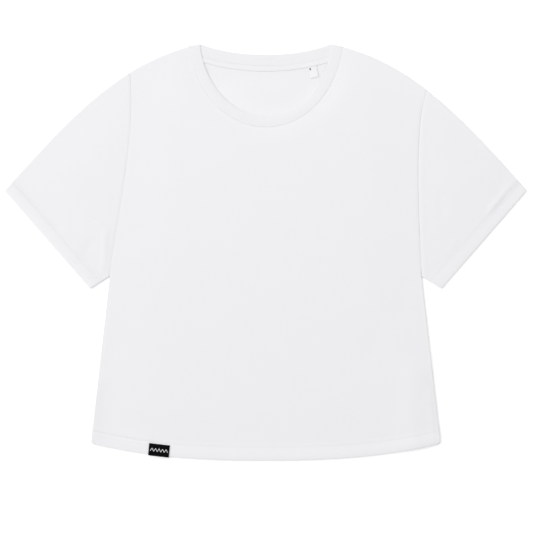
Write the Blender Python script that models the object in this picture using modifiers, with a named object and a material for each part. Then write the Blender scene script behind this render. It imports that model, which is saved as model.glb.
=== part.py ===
"""An oversized t-shirt laid flat, face up, on the surface z = 0.

Metres. x runs across the shirt, y from the hem to the neck, z up from the surface it lies on.
The origin is at the middle of the shirt's outline, on that surface. Left and right are as seen.
Each cut piece of cloth is one solid wall: the front lies on the back, the sleeves are flattened
tubes, and the collar is a doubled strip of rib that turns over at both shoulders.
"""

import functools
import math

import bmesh
import bpy
import numpy as np

# Cloth, as thickness
CLOTH = 0.0012  # one layer of jersey
RIB = 0.0019  # the collar's rib, doubled
TAPE = 0.0009
LABEL = 0.0007
SEAM_GAP = 0.0003  # left between pieces that are sewn edge to edge
LAYER_GAP = 0.0003  # left between pieces that lie on each other
TWO_LAYERS = 2 * CLOTH + LAYER_GAP

# Body
BODY_LENGTH = 0.666  # from the neck point to the lowest point of the hem
NECK_Y = BODY_LENGTH / 2
HALF_NECK = 0.105
HALF_CHEST = 0.2493
HALF_SWEEP = 0.2798
UNDERARM_Y = -0.0386
HEM_RISE = 0.0272  # the hem is this much higher at its ends than at its middle
HEM_POWER = 2.5
CORNER = 0.005  # radius of the hem's corners

# Shoulder and sleeve share one top edge, a curve from the neck point to the cuff
SHOULDER_SLOPE = math.radians(12.6)
SHOULDER_PULL = 0.1308
SLEEVE_SLOPE = math.radians(48.1)
SLEEVE_PULL = 0.1605
CUFF_TOP = np.array([0.4176, 0.0987])
CUFF_BOTTOM = np.array([0.2808, -0.0582])

# Each armhole runs from the top edge to the underarm, bent by two handles. x is counted outwards.
ARMHOLES = {
    "left": {"sign": -1, "top_x": 0.2196, "upper": (0.2111, 0.1760), "lower": (0.2397, 0.0653)},
    "right": {"sign": 1, "top_x": 0.2545, "upper": (0.2360, 0.2055), "lower": (0.2395, 0.0905)},
}

# Collar
RIB_WIDTH = 0.018
RIB_CHAMFER = 0.0004  # at the sewn edge; the folded edge is round
NECK_OVAL = {"centre_y": 0.350, "half_width": 0.106, "half_height": 0.132}  # inner edge of the front
BACK_NECK_Y = 0.3162
BACK_NECK_RISE = NECK_Y - BACK_NECK_Y
BACK_NECK_POWER = 2.25
SHOULDER_TURN = 0.0014  # radius of the rib's middle where it turns over
FAN_REACH = 0.0065  # length of back neck over which the rib opens out from the shoulder's direction
COLLAR_DROP_START = math.radians(30)  # on the neck oval, where the front collar starts to come down
COLLAR_DROP_SPAN = math.radians(45)
FRONT_COLLAR_LOW = CLOTH + LAYER_GAP + RIB / 2  # height of its middle at the centre front
FRONT_COLLAR_HIGH = RIB / 2 + 2 * SHOULDER_TURN  # and over the back collar
TAPE_LOWER_Y = 0.2893
TAPE_LOWER_RISE = 0.012
TAPE_HALF = 0.092
TAPE_POWER = 2.1
TAPE_END_X = 0.1010

# Small labels
TAB_WIDTH = 0.014
TAB_LENGTH = 0.018
TAB_X = 0.0745
TAB_EDGE = 0.0002
HEM_LABEL = {"x": -0.1712, "width": 0.033, "height": 0.018, "lean": 0.09}
HEM_LABEL_LIP = np.array(
    [
        # distance past the hem's edge, drop below the label's face
        (0.0010, 0.0022),
        (0.0010, 0.0010),
        (0.0007, 0.0003),
        (0.0000, 0.0000),
    ]
)

# Height that the turned-up hem adds, by distance from the edge, with a groove at the stitching
HEM_PROFILE = np.array(
    [
        # rise, lift
        (0.0000, 0.0002),
        (0.0015, 0.0006),
        (0.0050, 0.0006),
        (0.0125, 0.0006),
        (0.0185, 0.0006),
        (0.0200, 0.0001),
        (0.0215, 0.0003),
        (0.0260, 0.0000),
    ]
)
HEM_TOP = HEM_PROFILE[-1, 0]

# Soft rise of the cloth between its edges, and the largest folds
FRONT_LOFT = 0.0012
SLEEVE_LOFT = 0.0009
LOFT_REACH = 0.09
SEAM_LIFT = 0.0006  # the allowance pressed under the sleeve at the armhole
SEAM_LIFT_REACH = 0.007
COLLAR_LIFT = {"low": 0.0004, "high": 0.0016, "reach": 0.014, "low_y": 0.200, "high_y": 0.316}
FOLDS = {
    # piece: rows of start x, start y, end x, end y, half width, height; x as seen
    "front": (
        (0.262, -0.225, 0.268, -0.300, 0.006, 0.0008),
        (-0.225, -0.020, -0.150, 0.030, 0.022, 0.0006),
        (0.225, -0.060, 0.170, -0.160, 0.025, -0.0005),
        (-0.262, -0.240, -0.235, -0.290, 0.018, -0.0006),
    ),
    "left": (
        (-0.258, 0.040, -0.260, -0.028, 0.007, 0.0020),
        (-0.330, 0.020, -0.285, -0.020, 0.014, 0.0008),
    ),
    "right": (
        (0.298, 0.002, 0.267, -0.034, 0.006, 0.0010),
        (0.330, 0.110, 0.340, 0.030, 0.020, -0.0006),
    ),
}

# How finely the surfaces are divided
SHOULDER_STEPS = 6
NECK_STEPS = 28
BODY_STEPS = 20
SLEEVE_STEPS = 10
LAYER_STEPS = 12
UNDER_STEPS = 12
FOLD_STEPS = 6
FAN_STEPS = 5
BACK_NECK_STEPS = 20
NEARBY = 0.01  # share of an edge over which its direction is read


def bezier(start, pull, push, end, t):
    s = 1 - t
    return s**3 * start + 3 * s * s * t * pull + 3 * s * t * t * push + t**3 * end


def ease(t):
    """0 to 1 with a level start and end."""
    t = min(max(t, 0.0), 1.0)
    return t * t * (3 - 2 * t)


def line_length(points):
    return np.linalg.norm(np.diff(points, axis=0), axis=1).sum()


def along(points):
    """A function of 0 to 1 that runs along a line of points at an even pace."""
    points = np.asarray(points)
    steps = np.linalg.norm(np.diff(points, axis=0), axis=1)
    reach = np.concatenate([[0], np.cumsum(steps)]) / steps.sum()
    return lambda t: np.array([np.interp(t, reach, column) for column in points.T])


def joined(*stretches):
    """One function of 0 to 1 from stretches, each a pair of a function and the value where it ends."""

    def place(t):
        start = 0.0
        for stretch, end in stretches[:-1]:
            if t <= end:
                return stretch((t - start) / (end - start))
            start = end
        return stretches[-1][0]((t - start) / (1 - start))

    return place


def coons(low, high, first, last, u, v):
    """Point of the patch between two rows of cloth, low and high, and its two sides."""
    ruled = (1 - v) * low(u) + v * high(u) + (1 - u) * first(v) + u * last(v)
    corners = (1 - u) * ((1 - v) * low(0) + v * high(0)) + u * ((1 - v) * low(1) + v * high(1))
    return ruled - corners


# The outline, with x counted outwards from the middle


def top_edge_curve(samples=240):
    start = np.array([HALF_NECK, NECK_Y])
    pull = start + SHOULDER_PULL * np.array([math.cos(SHOULDER_SLOPE), -math.sin(SHOULDER_SLOPE)])
    push = CUFF_TOP - SLEEVE_PULL * np.array([math.cos(SLEEVE_SLOPE), -math.sin(SLEEVE_SLOPE)])
    return np.array([bezier(start, pull, push, CUFF_TOP, t) for t in np.linspace(0, 1, samples)])


TOP_EDGE = top_edge_curve()


def top_edge_y(x):
    return np.interp(abs(x), TOP_EDGE[:, 0], TOP_EDGE[:, 1])


def top_edge(x_from, x_to, steps):
    return [np.array([x, top_edge_y(x)]) for x in np.linspace(x_from, x_to, steps + 1)]


def hem_y(x):
    return -NECK_Y + HEM_RISE * abs(x / HALF_SWEEP) ** HEM_POWER


HEM_END_Y = hem_y(HALF_SWEEP)


def side_x(y):
    """Half the body's width below the underarm, with the hem's rounded corner."""
    slope = (HALF_SWEEP - HALF_CHEST) / (UNDERARM_Y - HEM_END_Y)
    into_corner = min(max(1 - (y - HEM_END_Y) / CORNER, 0.0), 1.0)
    return HALF_CHEST + slope * (UNDERARM_Y - y) - CORNER * (1 - math.sqrt(1 - into_corner**2))


@functools.cache
def armhole(side, steps=40):
    """Points from the top edge down to the underarm."""
    shape = ARMHOLES[side]
    start = np.array([shape["top_x"], top_edge_y(shape["top_x"])])
    end = np.array([HALF_CHEST, UNDERARM_Y])
    upper, lower = np.array(shape["upper"]), np.array(shape["lower"])
    return [bezier(start, upper, lower, end, t) for t in np.linspace(0, 1, steps + 1)]


def body_edge_x(x, y):
    """Half the body's width at this height, on the side that x is on."""
    if y <= UNDERARM_Y:
        return side_x(y)
    edge = np.array(armhole("left" if x < 0 else "right"))[::-1]
    return np.interp(y, edge[:, 1], edge[:, 0])


# The collar


def front_collar_angles():
    """Angles on the neck oval, at an even pace, from the right shoulder's turn to the left's."""
    turn_y = NECK_Y - (SHOULDER_TURN + RIB / 2) * math.cos(SHOULDER_SLOPE)
    first = math.asin((NECK_OVAL["centre_y"] - turn_y) / NECK_OVAL["half_height"])
    angles = np.linspace(first, math.pi - first, 400)
    pace = along([(*neck_oval(angle), angle) for angle in angles])
    return [pace(t)[2] for t in np.linspace(0, 1, NECK_STEPS + 1)]


def neck_oval(angle):
    x = NECK_OVAL["half_width"] * math.cos(angle)
    return np.array([x, NECK_OVAL["centre_y"] - NECK_OVAL["half_height"] * math.sin(angle)])


def unit(vector):
    return vector / np.linalg.norm(vector)


def front_collar_sections():
    """(inner edge, direction across the rib, height of its middle, turn), right to left."""
    sections = []
    for angle in front_collar_angles():
        x_part = math.cos(angle) / NECK_OVAL["half_width"]
        across = unit(np.array([x_part, -math.sin(angle) / NECK_OVAL["half_height"]]))
        down = ease((min(angle, math.pi - angle) - COLLAR_DROP_START) / COLLAR_DROP_SPAN)
        height = FRONT_COLLAR_HIGH + (FRONT_COLLAR_LOW - FRONT_COLLAR_HIGH) * down
        sections.append((neck_oval(angle), across, height, 0.0))
    return sections


def shoulder_turn_sections(steps=FOLD_STEPS):
    """The rib where it turns over the right shoulder, from the front to the back."""
    across = np.array([math.cos(SHOULDER_SLOPE), -math.sin(SHOULDER_SLOPE)])
    outward = np.array([math.sin(SHOULDER_SLOPE), math.cos(SHOULDER_SLOPE)])
    axis = np.array([HALF_NECK, NECK_Y]) - outward * (SHOULDER_TURN + RIB / 2)
    middle = RIB / 2 + SHOULDER_TURN
    sections = []
    for turn in np.linspace(0, math.pi, steps + 1):
        inner = axis + outward * SHOULDER_TURN * math.sin(turn)
        sections.append((inner, across, middle + SHOULDER_TURN * math.cos(turn), turn))
    return sections


def back_neck_y(x):
    return BACK_NECK_Y + BACK_NECK_RISE * abs(x / HALF_NECK) ** BACK_NECK_POWER


def back_neck_across(x):
    slope = BACK_NECK_RISE * BACK_NECK_POWER / HALF_NECK * abs(x / HALF_NECK) ** (BACK_NECK_POWER - 1)
    return unit(np.array([math.copysign(slope, x), -1]))


def back_collar_sections():
    """The rib along the back neck, from the right shoulder to the left one, lying on the surface."""
    turned_inner, turned_across, height, turn = shoulder_turn_sections()[-1]
    reach = turned_inner[0] - FAN_REACH
    fan = []
    for step in range(1, FAN_STEPS):
        share = step / FAN_STEPS
        x = turned_inner[0] + (reach - turned_inner[0]) * share
        y = (1 - share) * turned_inner[1] + share * back_neck_y(x)
        across = unit((1 - share) * turned_across + share * back_neck_across(x))
        fan.append((np.array([x, y]), across, height, turn))
    even = []
    for x in np.linspace(reach, -reach, BACK_NECK_STEPS + 1):
        even.append((np.array([x, back_neck_y(x)]), back_neck_across(x), height, turn))
    return fan + even + [mirrored(section) for section in reversed(fan)]


def mirrored(section):
    inner, across, height, turn = section
    flip = np.array([-1, 1])
    return inner * flip, across * flip, height, turn


def collar_sections():
    right_turn = shoulder_turn_sections()
    left_turn = [mirrored(section) for section in reversed(right_turn)]
    front = list(reversed(front_collar_sections()))  # left to right
    return front[1:-1] + right_turn + back_collar_sections() + left_turn


def collar_profile():
    """Points round the rib's cut, as distance from the inner edge and height in half thicknesses."""
    half = RIB / 2
    eighth = math.sqrt(0.5)
    upper = [(half * (1 - eighth), eighth), (half, 1.0), (RIB_WIDTH / 2, 1.0), (RIB_WIDTH - RIB_CHAMFER, 1.0)]
    lower = [(distance, -height) for distance, height in reversed(upper)]
    return [(0.0, 0.0)] + upper + [(RIB_WIDTH, 0.5), (RIB_WIDTH, -0.5)] + lower


def seam_point(section, gap):
    inner, across, _, _ = section
    return inner + across * (RIB_WIDTH + gap)


def collar_corner(gap):
    """Where the collar's outer edge meets the shoulder's edge."""
    x = HALF_NECK + (RIB_WIDTH + gap) * math.cos(SHOULDER_SLOPE)
    return np.array([x, top_edge_y(x)])


# Heights of the upper surfaces


def fold_height(piece, x, y):
    total = 0.0
    for x0, y0, x1, y1, width, height in FOLDS[piece]:
        start, run = np.array([x0, y0]), np.array([x1 - x0, y1 - y0])
        share = min(max(np.dot(np.array([x, y]) - start, run) / np.dot(run, run), 0.0), 1.0)
        distance = np.linalg.norm(start + share * run - np.array([x, y]))
        total += height * math.exp(-((distance / width) ** 2))
    return total


def hem_lift(rise):
    return np.interp(rise, HEM_PROFILE[:, 0], HEM_PROFILE[:, 1])


def collar_lift(x, y):
    """The front rises to the collar's height round the neck, most at the shoulders."""
    offset = np.array([x, y - NECK_OVAL["centre_y"]])
    radii = np.array([NECK_OVAL["half_width"], NECK_OVAL["half_height"]]) + RIB_WIDTH
    inside = np.linalg.norm(offset / radii)
    distance = max(np.linalg.norm(offset) * (1 - 1 / inside), 0.0)
    up_neck = ease((y - COLLAR_LIFT["low_y"]) / (COLLAR_LIFT["high_y"] - COLLAR_LIFT["low_y"]))
    height = COLLAR_LIFT["low"] + (COLLAR_LIFT["high"] - COLLAR_LIFT["low"]) * up_neck
    return height * math.exp(-((distance / COLLAR_LIFT["reach"]) ** 2))


def front_top(x, y):
    """Height of the front's upper surface."""
    rise = y - hem_y(x)
    edges = ((body_edge_x(x, y) - abs(x)), rise, top_edge_y(x) - y)
    loft = FRONT_LOFT * math.prod(ease(distance / LOFT_REACH) for distance in edges)
    soft = max(loft + fold_height("front", x, y), 0.0)
    return TWO_LAYERS + soft + hem_lift(rise) + collar_lift(x, y)


def sleeve_top(side, x, y):
    """Height of a sleeve's upper surface, with x counted outwards."""
    cuff_along = unit(CUFF_TOP - CUFF_BOTTOM)
    into_sleeve = np.array([-cuff_along[1], cuff_along[0]])
    rise = np.dot(np.array([x, y]) - CUFF_BOTTOM, into_sleeve)
    sign = ARMHOLES[side]["sign"]
    from_armhole = max(x - body_edge_x(sign * x, max(y, UNDERARM_Y + 0.0001)), 0.0)
    edges = (top_edge_y(x) - y, from_armhole + LOFT_REACH / 3, rise)
    loft = SLEEVE_LOFT * math.prod(ease(max(distance, 0) / LOFT_REACH) for distance in edges)
    lift = SEAM_LIFT * math.exp(-((from_armhole / SEAM_LIFT_REACH) ** 2))
    soft = max(loft + fold_height(side, sign * x, y), 0.0)
    return TWO_LAYERS + soft + lift + hem_lift(rise)


# Making objects


def cloth_material(name, colour, roughness):
    material = bpy.data.materials.new(name)
    material.use_nodes = True
    shader = material.node_tree.nodes["Principled BSDF"]
    shader.inputs["Base Color"].default_value = (*colour, 1.0)
    shader.inputs["Roughness"].default_value = roughness
    shader.inputs["Metallic"].default_value = 0.0
    return material


def add_object(name, data, material, collection):
    data.materials.append(material)
    obj = bpy.data.objects.new(name, data)
    collection.objects.link(obj)
    return obj


def shaped_grid(name, columns, rows, place, drop=0.0):
    """A grid whose point at each column and row is put where place says; meeting edges are merged.

    With a drop, the grid is a wall's upper side, and its lower side is that much below it.
    """
    bm = bmesh.new()
    across, up = len(columns) - 1, len(rows) - 1
    bmesh.ops.create_grid(bm, x_segments=across, y_segments=up, size=0.5)
    for vert in bm.verts:
        column = round((vert.co.x + 0.5) * across)
        row = round((vert.co.y + 0.5) * up)
        vert.co = place(columns[column], rows[row])
    bmesh.ops.remove_doubles(bm, verts=bm.verts, dist=1e-6)
    if drop:
        made = bmesh.ops.extrude_face_region(bm, geom=bm.faces[:], use_keep_orig=True)
        lower = [part for part in made["geom"] if isinstance(part, bmesh.types.BMVert)]
        bmesh.ops.translate(bm, vec=(0, 0, -drop), verts=lower)
    bmesh.ops.recalc_face_normals(bm, faces=bm.faces[:])
    mesh = bpy.data.meshes.new(name)
    bm.to_mesh(mesh)
    bm.free()
    mesh.shade_smooth()
    mesh.set_sharp_from_angle(angle=math.radians(40))
    return mesh


def add_wall(obj, thickness):
    """Gives an open surface its thickness, inwards from the outer side."""
    wall = obj.modifiers.new("wall", "SOLIDIFY")
    wall.thickness = thickness
    wall.offset = -1
    wall.use_even_offset = True


def flat_piece(name, outline, low, thickness, material, collection):
    """A flat cut piece: its outline as a filled curve, extruded to its thickness."""
    curve = bpy.data.curves.new(name, "CURVE")
    curve.dimensions = "2D"
    curve.fill_mode = "BOTH"
    curve.extrude = thickness / 2
    spline = curve.splines.new("POLY")
    spline.points.add(len(outline) - 1)
    for point, (x, y) in zip(spline.points, outline):
        point.co = (x, y, 0, 1)
    spline.use_cyclic_u = True
    obj = add_object(name, curve, material, collection)
    obj.location.z = low + thickness / 2
    return obj


def signed(points, sign):
    return [np.array([sign * x, y]) for x, y in points]


def seam_side(points, gap):
    """An armhole's points moved inwards or outwards by part of the seam's gap."""
    return [np.array([x + gap, y]) for x, y in points]


# The pieces


def front_panel(material, collection):
    """The front: a patch between the hem, the sides with the armholes, and the shoulders and neck."""
    shoulder_end, underarm = 0.16, 0.46  # where the patch's corners at the neck and underarm come

    def body_side(name):
        sign = ARMHOLES[name]["sign"]
        seam_ys = np.linspace(HEM_END_Y + HEM_TOP, UNDERARM_Y, 12)
        seam = [np.array([side_x(y) - SEAM_GAP / 2, y]) for y in seam_ys]
        hole = seam_side(reversed(armhole(name)), -SEAM_GAP / 2)
        return joined((along(signed(seam, sign)), underarm), (along(signed(hole, sign)), 1))

    def shoulder(name):
        shape = ARMHOLES[name]
        edge = top_edge(shape["top_x"] - SEAM_GAP / 2, collar_corner(SEAM_GAP)[0], 20)
        return signed(edge, shape["sign"])

    left, right = body_side("left"), body_side("right")
    neck = [seam_point(section, SEAM_GAP) for section in reversed(front_collar_sections())]
    corner = collar_corner(SEAM_GAP)
    neckline = [corner * np.array([-1, 1])] + neck[1:-1] + [corner]
    shares = np.linspace(0, 1, NECK_STEPS + 1)

    def neckline_at(t):
        return np.array([np.interp(t, shares, column) for column in np.array(neckline).T])

    top_at = joined(
        (along(shoulder("left")), shoulder_end),
        (neckline_at, 1 - shoulder_end),
        (along(shoulder("right")[::-1]), 1),
    )

    def hem_row(u, rise):
        x = (side_x(HEM_END_Y + rise) - SEAM_GAP / 2) * (2 * u - 1)
        return np.array([x, hem_y(x) + rise])

    def place(u, row):
        kind, value = row
        if kind == "hem":
            x, y = hem_row(u, value)
        else:
            x, y = coons(lambda t: hem_row(t, HEM_TOP), top_at, left, right, u, value)
        return x, y, front_top(x, y)

    columns = [
        *np.linspace(0, shoulder_end, SHOULDER_STEPS + 1)[:-1],
        *np.linspace(shoulder_end, 1 - shoulder_end, NECK_STEPS + 1),
        *np.linspace(1 - shoulder_end, 1, SHOULDER_STEPS + 1)[1:],
    ]
    below = round(BODY_STEPS * underarm)
    body = [*np.linspace(0, underarm, below + 1)[1:], *np.linspace(underarm, 1, BODY_STEPS - below + 1)[1:]]
    rows = [("hem", rise) for rise in HEM_PROFILE[:, 0]] + [("body", v) for v in body]
    mesh = shaped_grid("front_panel", columns, rows, place, drop=CLOTH)
    return add_object("front_panel", mesh, material, collection)


def back_panel(material, collection):
    """The back: one flat layer that the whole shirt lies on."""

    def body_side(name):
        """Points up one side, with x counted outwards, from the hem's corner to the collar."""
        corner_ys = HEM_END_Y + CORNER * (1 - np.cos(np.linspace(0, math.pi / 2, 5)))
        corner = [np.array([side_x(y) - SEAM_GAP / 2, y]) for y in corner_ys]
        hole = seam_side(reversed(armhole(name, 16)), -SEAM_GAP / 2)
        shoulder = top_edge(ARMHOLES[name]["top_x"] - SEAM_GAP / 2, collar_corner(SEAM_GAP)[0], 6)
        return corner + hole + shoulder[1:]

    hem_xs = (HALF_SWEEP - CORNER) * np.linspace(-1, 1, 41)[1:-1]
    hem = [np.array([x, hem_y(x)]) for x in hem_xs]
    turned = shoulder_turn_sections()[-1]
    neck = [seam_point(section, SEAM_GAP) for section in [turned, *back_collar_sections(), mirrored(turned)]]
    outline = hem + body_side("right") + neck + signed(reversed(body_side("left")), -1)
    return flat_piece("back_panel", outline, 0, CLOTH, material, collection)


def sleeve(side, material, collection):
    """A flattened tube from the armhole to the cuff, folded along its top edge and at the underarm."""
    shape = ARMHOLES[side]
    hole = seam_side(armhole(side), SEAM_GAP / 2)
    upper_points = top_edge(CUFF_TOP[0], hole[0][0], 60)
    upper, upper_length = along(upper_points), line_length(upper_points)
    lower, lower_length = along([CUFF_BOTTOM, hole[-1]]), line_length([CUFF_BOTTOM, hole[-1]])
    across = np.linspace(0, 1, 2 * LAYER_STEPS + 1)

    def section_line(kind, value):
        """Points across the sleeve, from its top edge to the underarm."""
        if kind == "hem":
            ends = upper(value / upper_length), lower(value / lower_length)
            return [(1 - u) * ends[0] + u * ends[1] for u in across]
        cuff_side = along(section_line("hem", HEM_TOP))
        first, last = HEM_TOP / upper_length, HEM_TOP / lower_length
        sides = (lambda v: upper(first + (1 - first) * v), lambda v: lower(last + (1 - last) * v))
        return [coons(cuff_side, along(hole), *sides, u, value) for u in across]

    @functools.cache
    def section(kind, value):
        """The section line, its length, and how square it stands to each of the two folds."""
        line = section_line(kind, value)
        length = line_length(line)
        squareness = []
        for edge, edge_length, ends in ((upper, upper_length, line[:2]), (lower, lower_length, line[:-3:-1])):
            share = HEM_TOP / edge_length
            at = value / edge_length if kind == "hem" else share + (1 - share) * value
            run = unit(edge(min(at + NEARBY, 1)) - edge(max(at - NEARBY, 0)))
            inward = unit(ends[1] - ends[0])
            squareness.append(abs(inward[0] * run[1] - inward[1] * run[0]))
        return along(line), length, squareness

    def place(station, row):
        kind, value, inset = row
        line, length, (upper_square, lower_square) = section(kind, value)
        first, last = TWO_LAYERS / 2 / upper_square, TWO_LAYERS / 2 / lower_square
        stretch, at = station
        if stretch in ("over", "under"):
            x, y = line((first + (length - first - last) * at) / length)
            height = sleeve_top(side, x, y) - inset if stretch == "over" else inset
        else:
            reach, square = (last, lower_square) if stretch == "underarm" else (first, upper_square)
            edge, inwards = (length, -1) if stretch == "underarm" else (0.0, 1)
            half = sleeve_top(side, *line((edge + inwards * reach) / length)) / 2
            out = (TWO_LAYERS / 2 - inset) / square * math.cos(at)
            x, y = line((edge + inwards * (reach - out)) / length)
            height = half + (half - inset) * math.sin(at)
        return shape["sign"] * x, y, height

    quarter = math.pi / 2
    stations = [("over", t) for t in np.linspace(0, 1, LAYER_STEPS + 1)]
    stations += [("underarm", t) for t in np.linspace(quarter, -quarter, FOLD_STEPS + 1)[1:-1]]
    stations += [("under", t) for t in np.linspace(1, 0, UNDER_STEPS + 1)]
    stations += [("top", t) for t in np.linspace(-quarter, quarter, FOLD_STEPS + 1)[1:-1]]
    rows = [("hem", rise) for rise in HEM_PROFILE[:, 0]]
    rows += [("body", v) for v in np.linspace(0, 1, SLEEVE_STEPS + 1)[1:]]
    outer = [(*row, 0.0) for row in rows]
    inner = [(*row, CLOTH) for row in reversed(rows)]
    mesh = shaped_grid("sleeve_" + side, stations + stations[:1], outer + inner + outer[:1], place)
    return add_object("sleeve_" + side, mesh, material, collection)


def collar(material, collection):
    """The rib round the neck: the front lies over the back and turns over at both shoulders."""
    sections = collar_sections()
    profile = collar_profile()

    def place(point, index):
        inner, across, height, turn = sections[index]
        distance, level = point
        side_sign = math.copysign(1, inner[0])
        outward = np.array([side_sign * math.sin(SHOULDER_SLOPE), math.cos(SHOULDER_SLOPE)])
        lift = level * RIB / 2
        flat = inner + across * distance + outward * lift * math.sin(turn)
        return flat[0], flat[1], height + lift * math.cos(turn)

    columns = profile + profile[:1]
    rows = [*range(len(sections)), 0]
    mesh = shaped_grid("collar", columns, rows, place)
    return add_object("collar", mesh, material, collection)


def neck_tape(material, collection):
    """A narrow tape over the back neck's seam, inside the shirt."""
    sections = back_collar_sections()[FAN_STEPS - 1 : -(FAN_STEPS - 1)]
    upper = [seam_point(section, SEAM_GAP) for section in sections]
    lower = [np.array([x, tape_y(x)]) for x in np.linspace(-TAPE_END_X, TAPE_END_X, 25)]
    return flat_piece("neck_tape", upper + lower, CLOTH + LAYER_GAP, TAPE, material, collection)


def tape_y(x):
    return TAPE_LOWER_Y + TAPE_LOWER_RISE * abs(x / TAPE_HALF) ** TAPE_POWER


def size_tab(material, collection):
    """A small tab that hangs square to the tape's lower edge."""
    slope = TAPE_LOWER_RISE * TAPE_POWER / TAPE_HALF * (TAB_X / TAPE_HALF) ** (TAPE_POWER - 1)
    lean = math.atan(slope)
    down = np.array([math.sin(lean), -math.cos(lean)])
    x, y = np.array([TAB_X, tape_y(TAB_X)]) + down * (SEAM_GAP + TAB_EDGE + TAB_LENGTH / 2)
    bm = bmesh.new()
    bmesh.ops.create_cube(bm, size=1)
    bmesh.ops.scale(bm, vec=(TAB_WIDTH, TAB_LENGTH, LABEL), verts=bm.verts)
    mesh = bpy.data.meshes.new("size_tab")
    bm.to_mesh(mesh)
    bm.free()
    obj = add_object("size_tab", mesh, material, collection)
    obj.location = (x, y, CLOTH + LAYER_GAP + LABEL / 2)
    obj.rotation_euler.z = lean
    edge = obj.modifiers.new("edge", "BEVEL")
    edge.width = TAB_EDGE
    edge.segments = 2
    return obj


def hem_label(material, collection):
    """A woven label on the front's hem, bent down over its edge."""
    middle = HEM_LABEL["height"] / 2

    def place(u, row):
        rise, drop = row
        edge_x = HEM_LABEL["x"] + HEM_LABEL["width"] * (u - 0.5)
        x = edge_x + rise * HEM_LABEL["lean"]
        resting = front_top(x, hem_y(edge_x) + max(rise, middle))
        return x, hem_y(edge_x) + rise, resting + LAYER_GAP + LABEL - drop

    rows = [(-past, drop) for past, drop in HEM_LABEL_LIP]
    rows += [(rise, 0.0) for rise in np.linspace(0, HEM_LABEL["height"], 5)[1:]]
    columns = np.linspace(0, 1, 9)
    obj = add_object("hem_label", shaped_grid("hem_label", columns, rows, place), material, collection)
    add_wall(obj, LABEL)
    return obj


def main():
    for obj in list(bpy.data.objects):
        bpy.data.objects.remove(obj, do_unlink=True)
    shirt = bpy.data.collections.new("oversized_t_shirt")
    bpy.context.scene.collection.children.link(shirt)
    jersey = cloth_material("jersey", (0.83, 0.83, 0.85), 0.9)
    front_panel(jersey, shirt)
    back_panel(cloth_material("jersey_back", (0.81, 0.81, 0.83), 0.9), shirt)
    for side in ARMHOLES:
        sleeve(side, cloth_material("jersey_" + side, (0.83, 0.83, 0.85), 0.9), shirt)
    collar(cloth_material("rib", (0.81, 0.81, 0.83), 0.92), shirt)
    neck_tape(cloth_material("tape", (0.85, 0.85, 0.86), 0.85), shirt)
    size_tab(cloth_material("white_satin", (0.88, 0.88, 0.89), 0.6), shirt)
    hem_label(cloth_material("black_weave", (0.012, 0.012, 0.014), 0.7), shirt)


main()
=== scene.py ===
# %% [markdown]
# # An oversized t-shirt, laid flat
#
# The object is a boxy white t-shirt that lies face up on a table. A plain model of its eight cut
# pieces is loaded first, and nothing here moves it. Each piece is then made again as thin cloth with
# folded hems, soft creases, ribs and stitches, in the same place, and hides its plain solid.

# %% Load the plain model
import math

import bmesh
import bpy
import numpy as np
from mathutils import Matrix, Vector


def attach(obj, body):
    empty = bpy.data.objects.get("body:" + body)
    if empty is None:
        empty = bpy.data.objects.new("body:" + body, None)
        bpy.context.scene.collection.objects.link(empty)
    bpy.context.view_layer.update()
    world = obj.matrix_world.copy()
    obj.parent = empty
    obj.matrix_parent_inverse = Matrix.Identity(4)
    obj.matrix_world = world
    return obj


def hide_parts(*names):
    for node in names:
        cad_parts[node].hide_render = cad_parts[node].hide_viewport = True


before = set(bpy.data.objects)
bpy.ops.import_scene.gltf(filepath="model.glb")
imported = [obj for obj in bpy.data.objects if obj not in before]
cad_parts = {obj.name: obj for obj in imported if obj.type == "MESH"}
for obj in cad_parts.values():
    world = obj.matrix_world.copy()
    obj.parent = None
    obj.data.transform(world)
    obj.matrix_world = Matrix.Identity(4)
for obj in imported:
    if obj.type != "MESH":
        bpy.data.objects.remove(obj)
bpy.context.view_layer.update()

print("plain pieces:", ", ".join(sorted(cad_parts)))

# %% [markdown]
# ## Camera
#
# The shirt is seen from straight above, so the camera looks down its own -Z axis with no turn at all.
# A long lens far away keeps the outline free of perspective. The distance follows from the width of
# table that the picture takes in.

# %% Camera
LENS = 100.0  # mm
SENSOR = 36.0  # mm
VIEW_WIDTH = 0.8528  # metres of table across the picture
VIEW_CENTRE = (0.0013, -0.0228)

camera_data = bpy.data.cameras.new("camera")
camera_data.lens = LENS
camera_data.sensor_width = SENSOR
camera = bpy.data.objects.new("camera", camera_data)
camera.location = (*VIEW_CENTRE, VIEW_WIDTH * LENS / SENSOR)
bpy.context.scene.collection.objects.link(camera)
bpy.context.scene.camera = camera
print("camera height:", round(camera.location.z, 3))

# %% [markdown]
# ## Light and floor
#
# White cloth on white shows only through faint shading, so most of the light is even and comes from
# the world. A very broad lamp on the left gives it a direction, and a smaller one beyond the neck
# makes the upper half a little brighter than the hem. The floor glows slightly, so it stays white.

# %% Light
WORLD_LIGHT = 0.77
LAMPS = {
    # place, size and power
    "broad_lamp": ((-6.6, 2.6, 5.5), 8.2, 422.0),
    "upper_lamp": ((0.0, 1.7, 1.7), 1.4, 7.0),
}

world = bpy.data.worlds.new("studio")
world.use_nodes = True
world.node_tree.nodes["Background"].inputs["Color"].default_value = (1.0, 1.0, 1.0, 1.0)
world.node_tree.nodes["Background"].inputs["Strength"].default_value = WORLD_LIGHT
bpy.context.scene.world = world
bpy.context.scene.view_settings.view_transform = "Standard"

for name, (place, size, power) in LAMPS.items():
    lamp_data = bpy.data.lights.new(name, "AREA")
    lamp_data.shape = "DISK"
    lamp_data.size = size
    lamp_data.energy = power
    lamp = bpy.data.objects.new(name, lamp_data)
    lamp.location = place
    lamp.rotation_euler = (-Vector(place)).to_track_quat("-Z", "Y").to_euler()
    bpy.context.scene.collection.objects.link(lamp)
print("lamps:", ", ".join(LAMPS))

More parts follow.
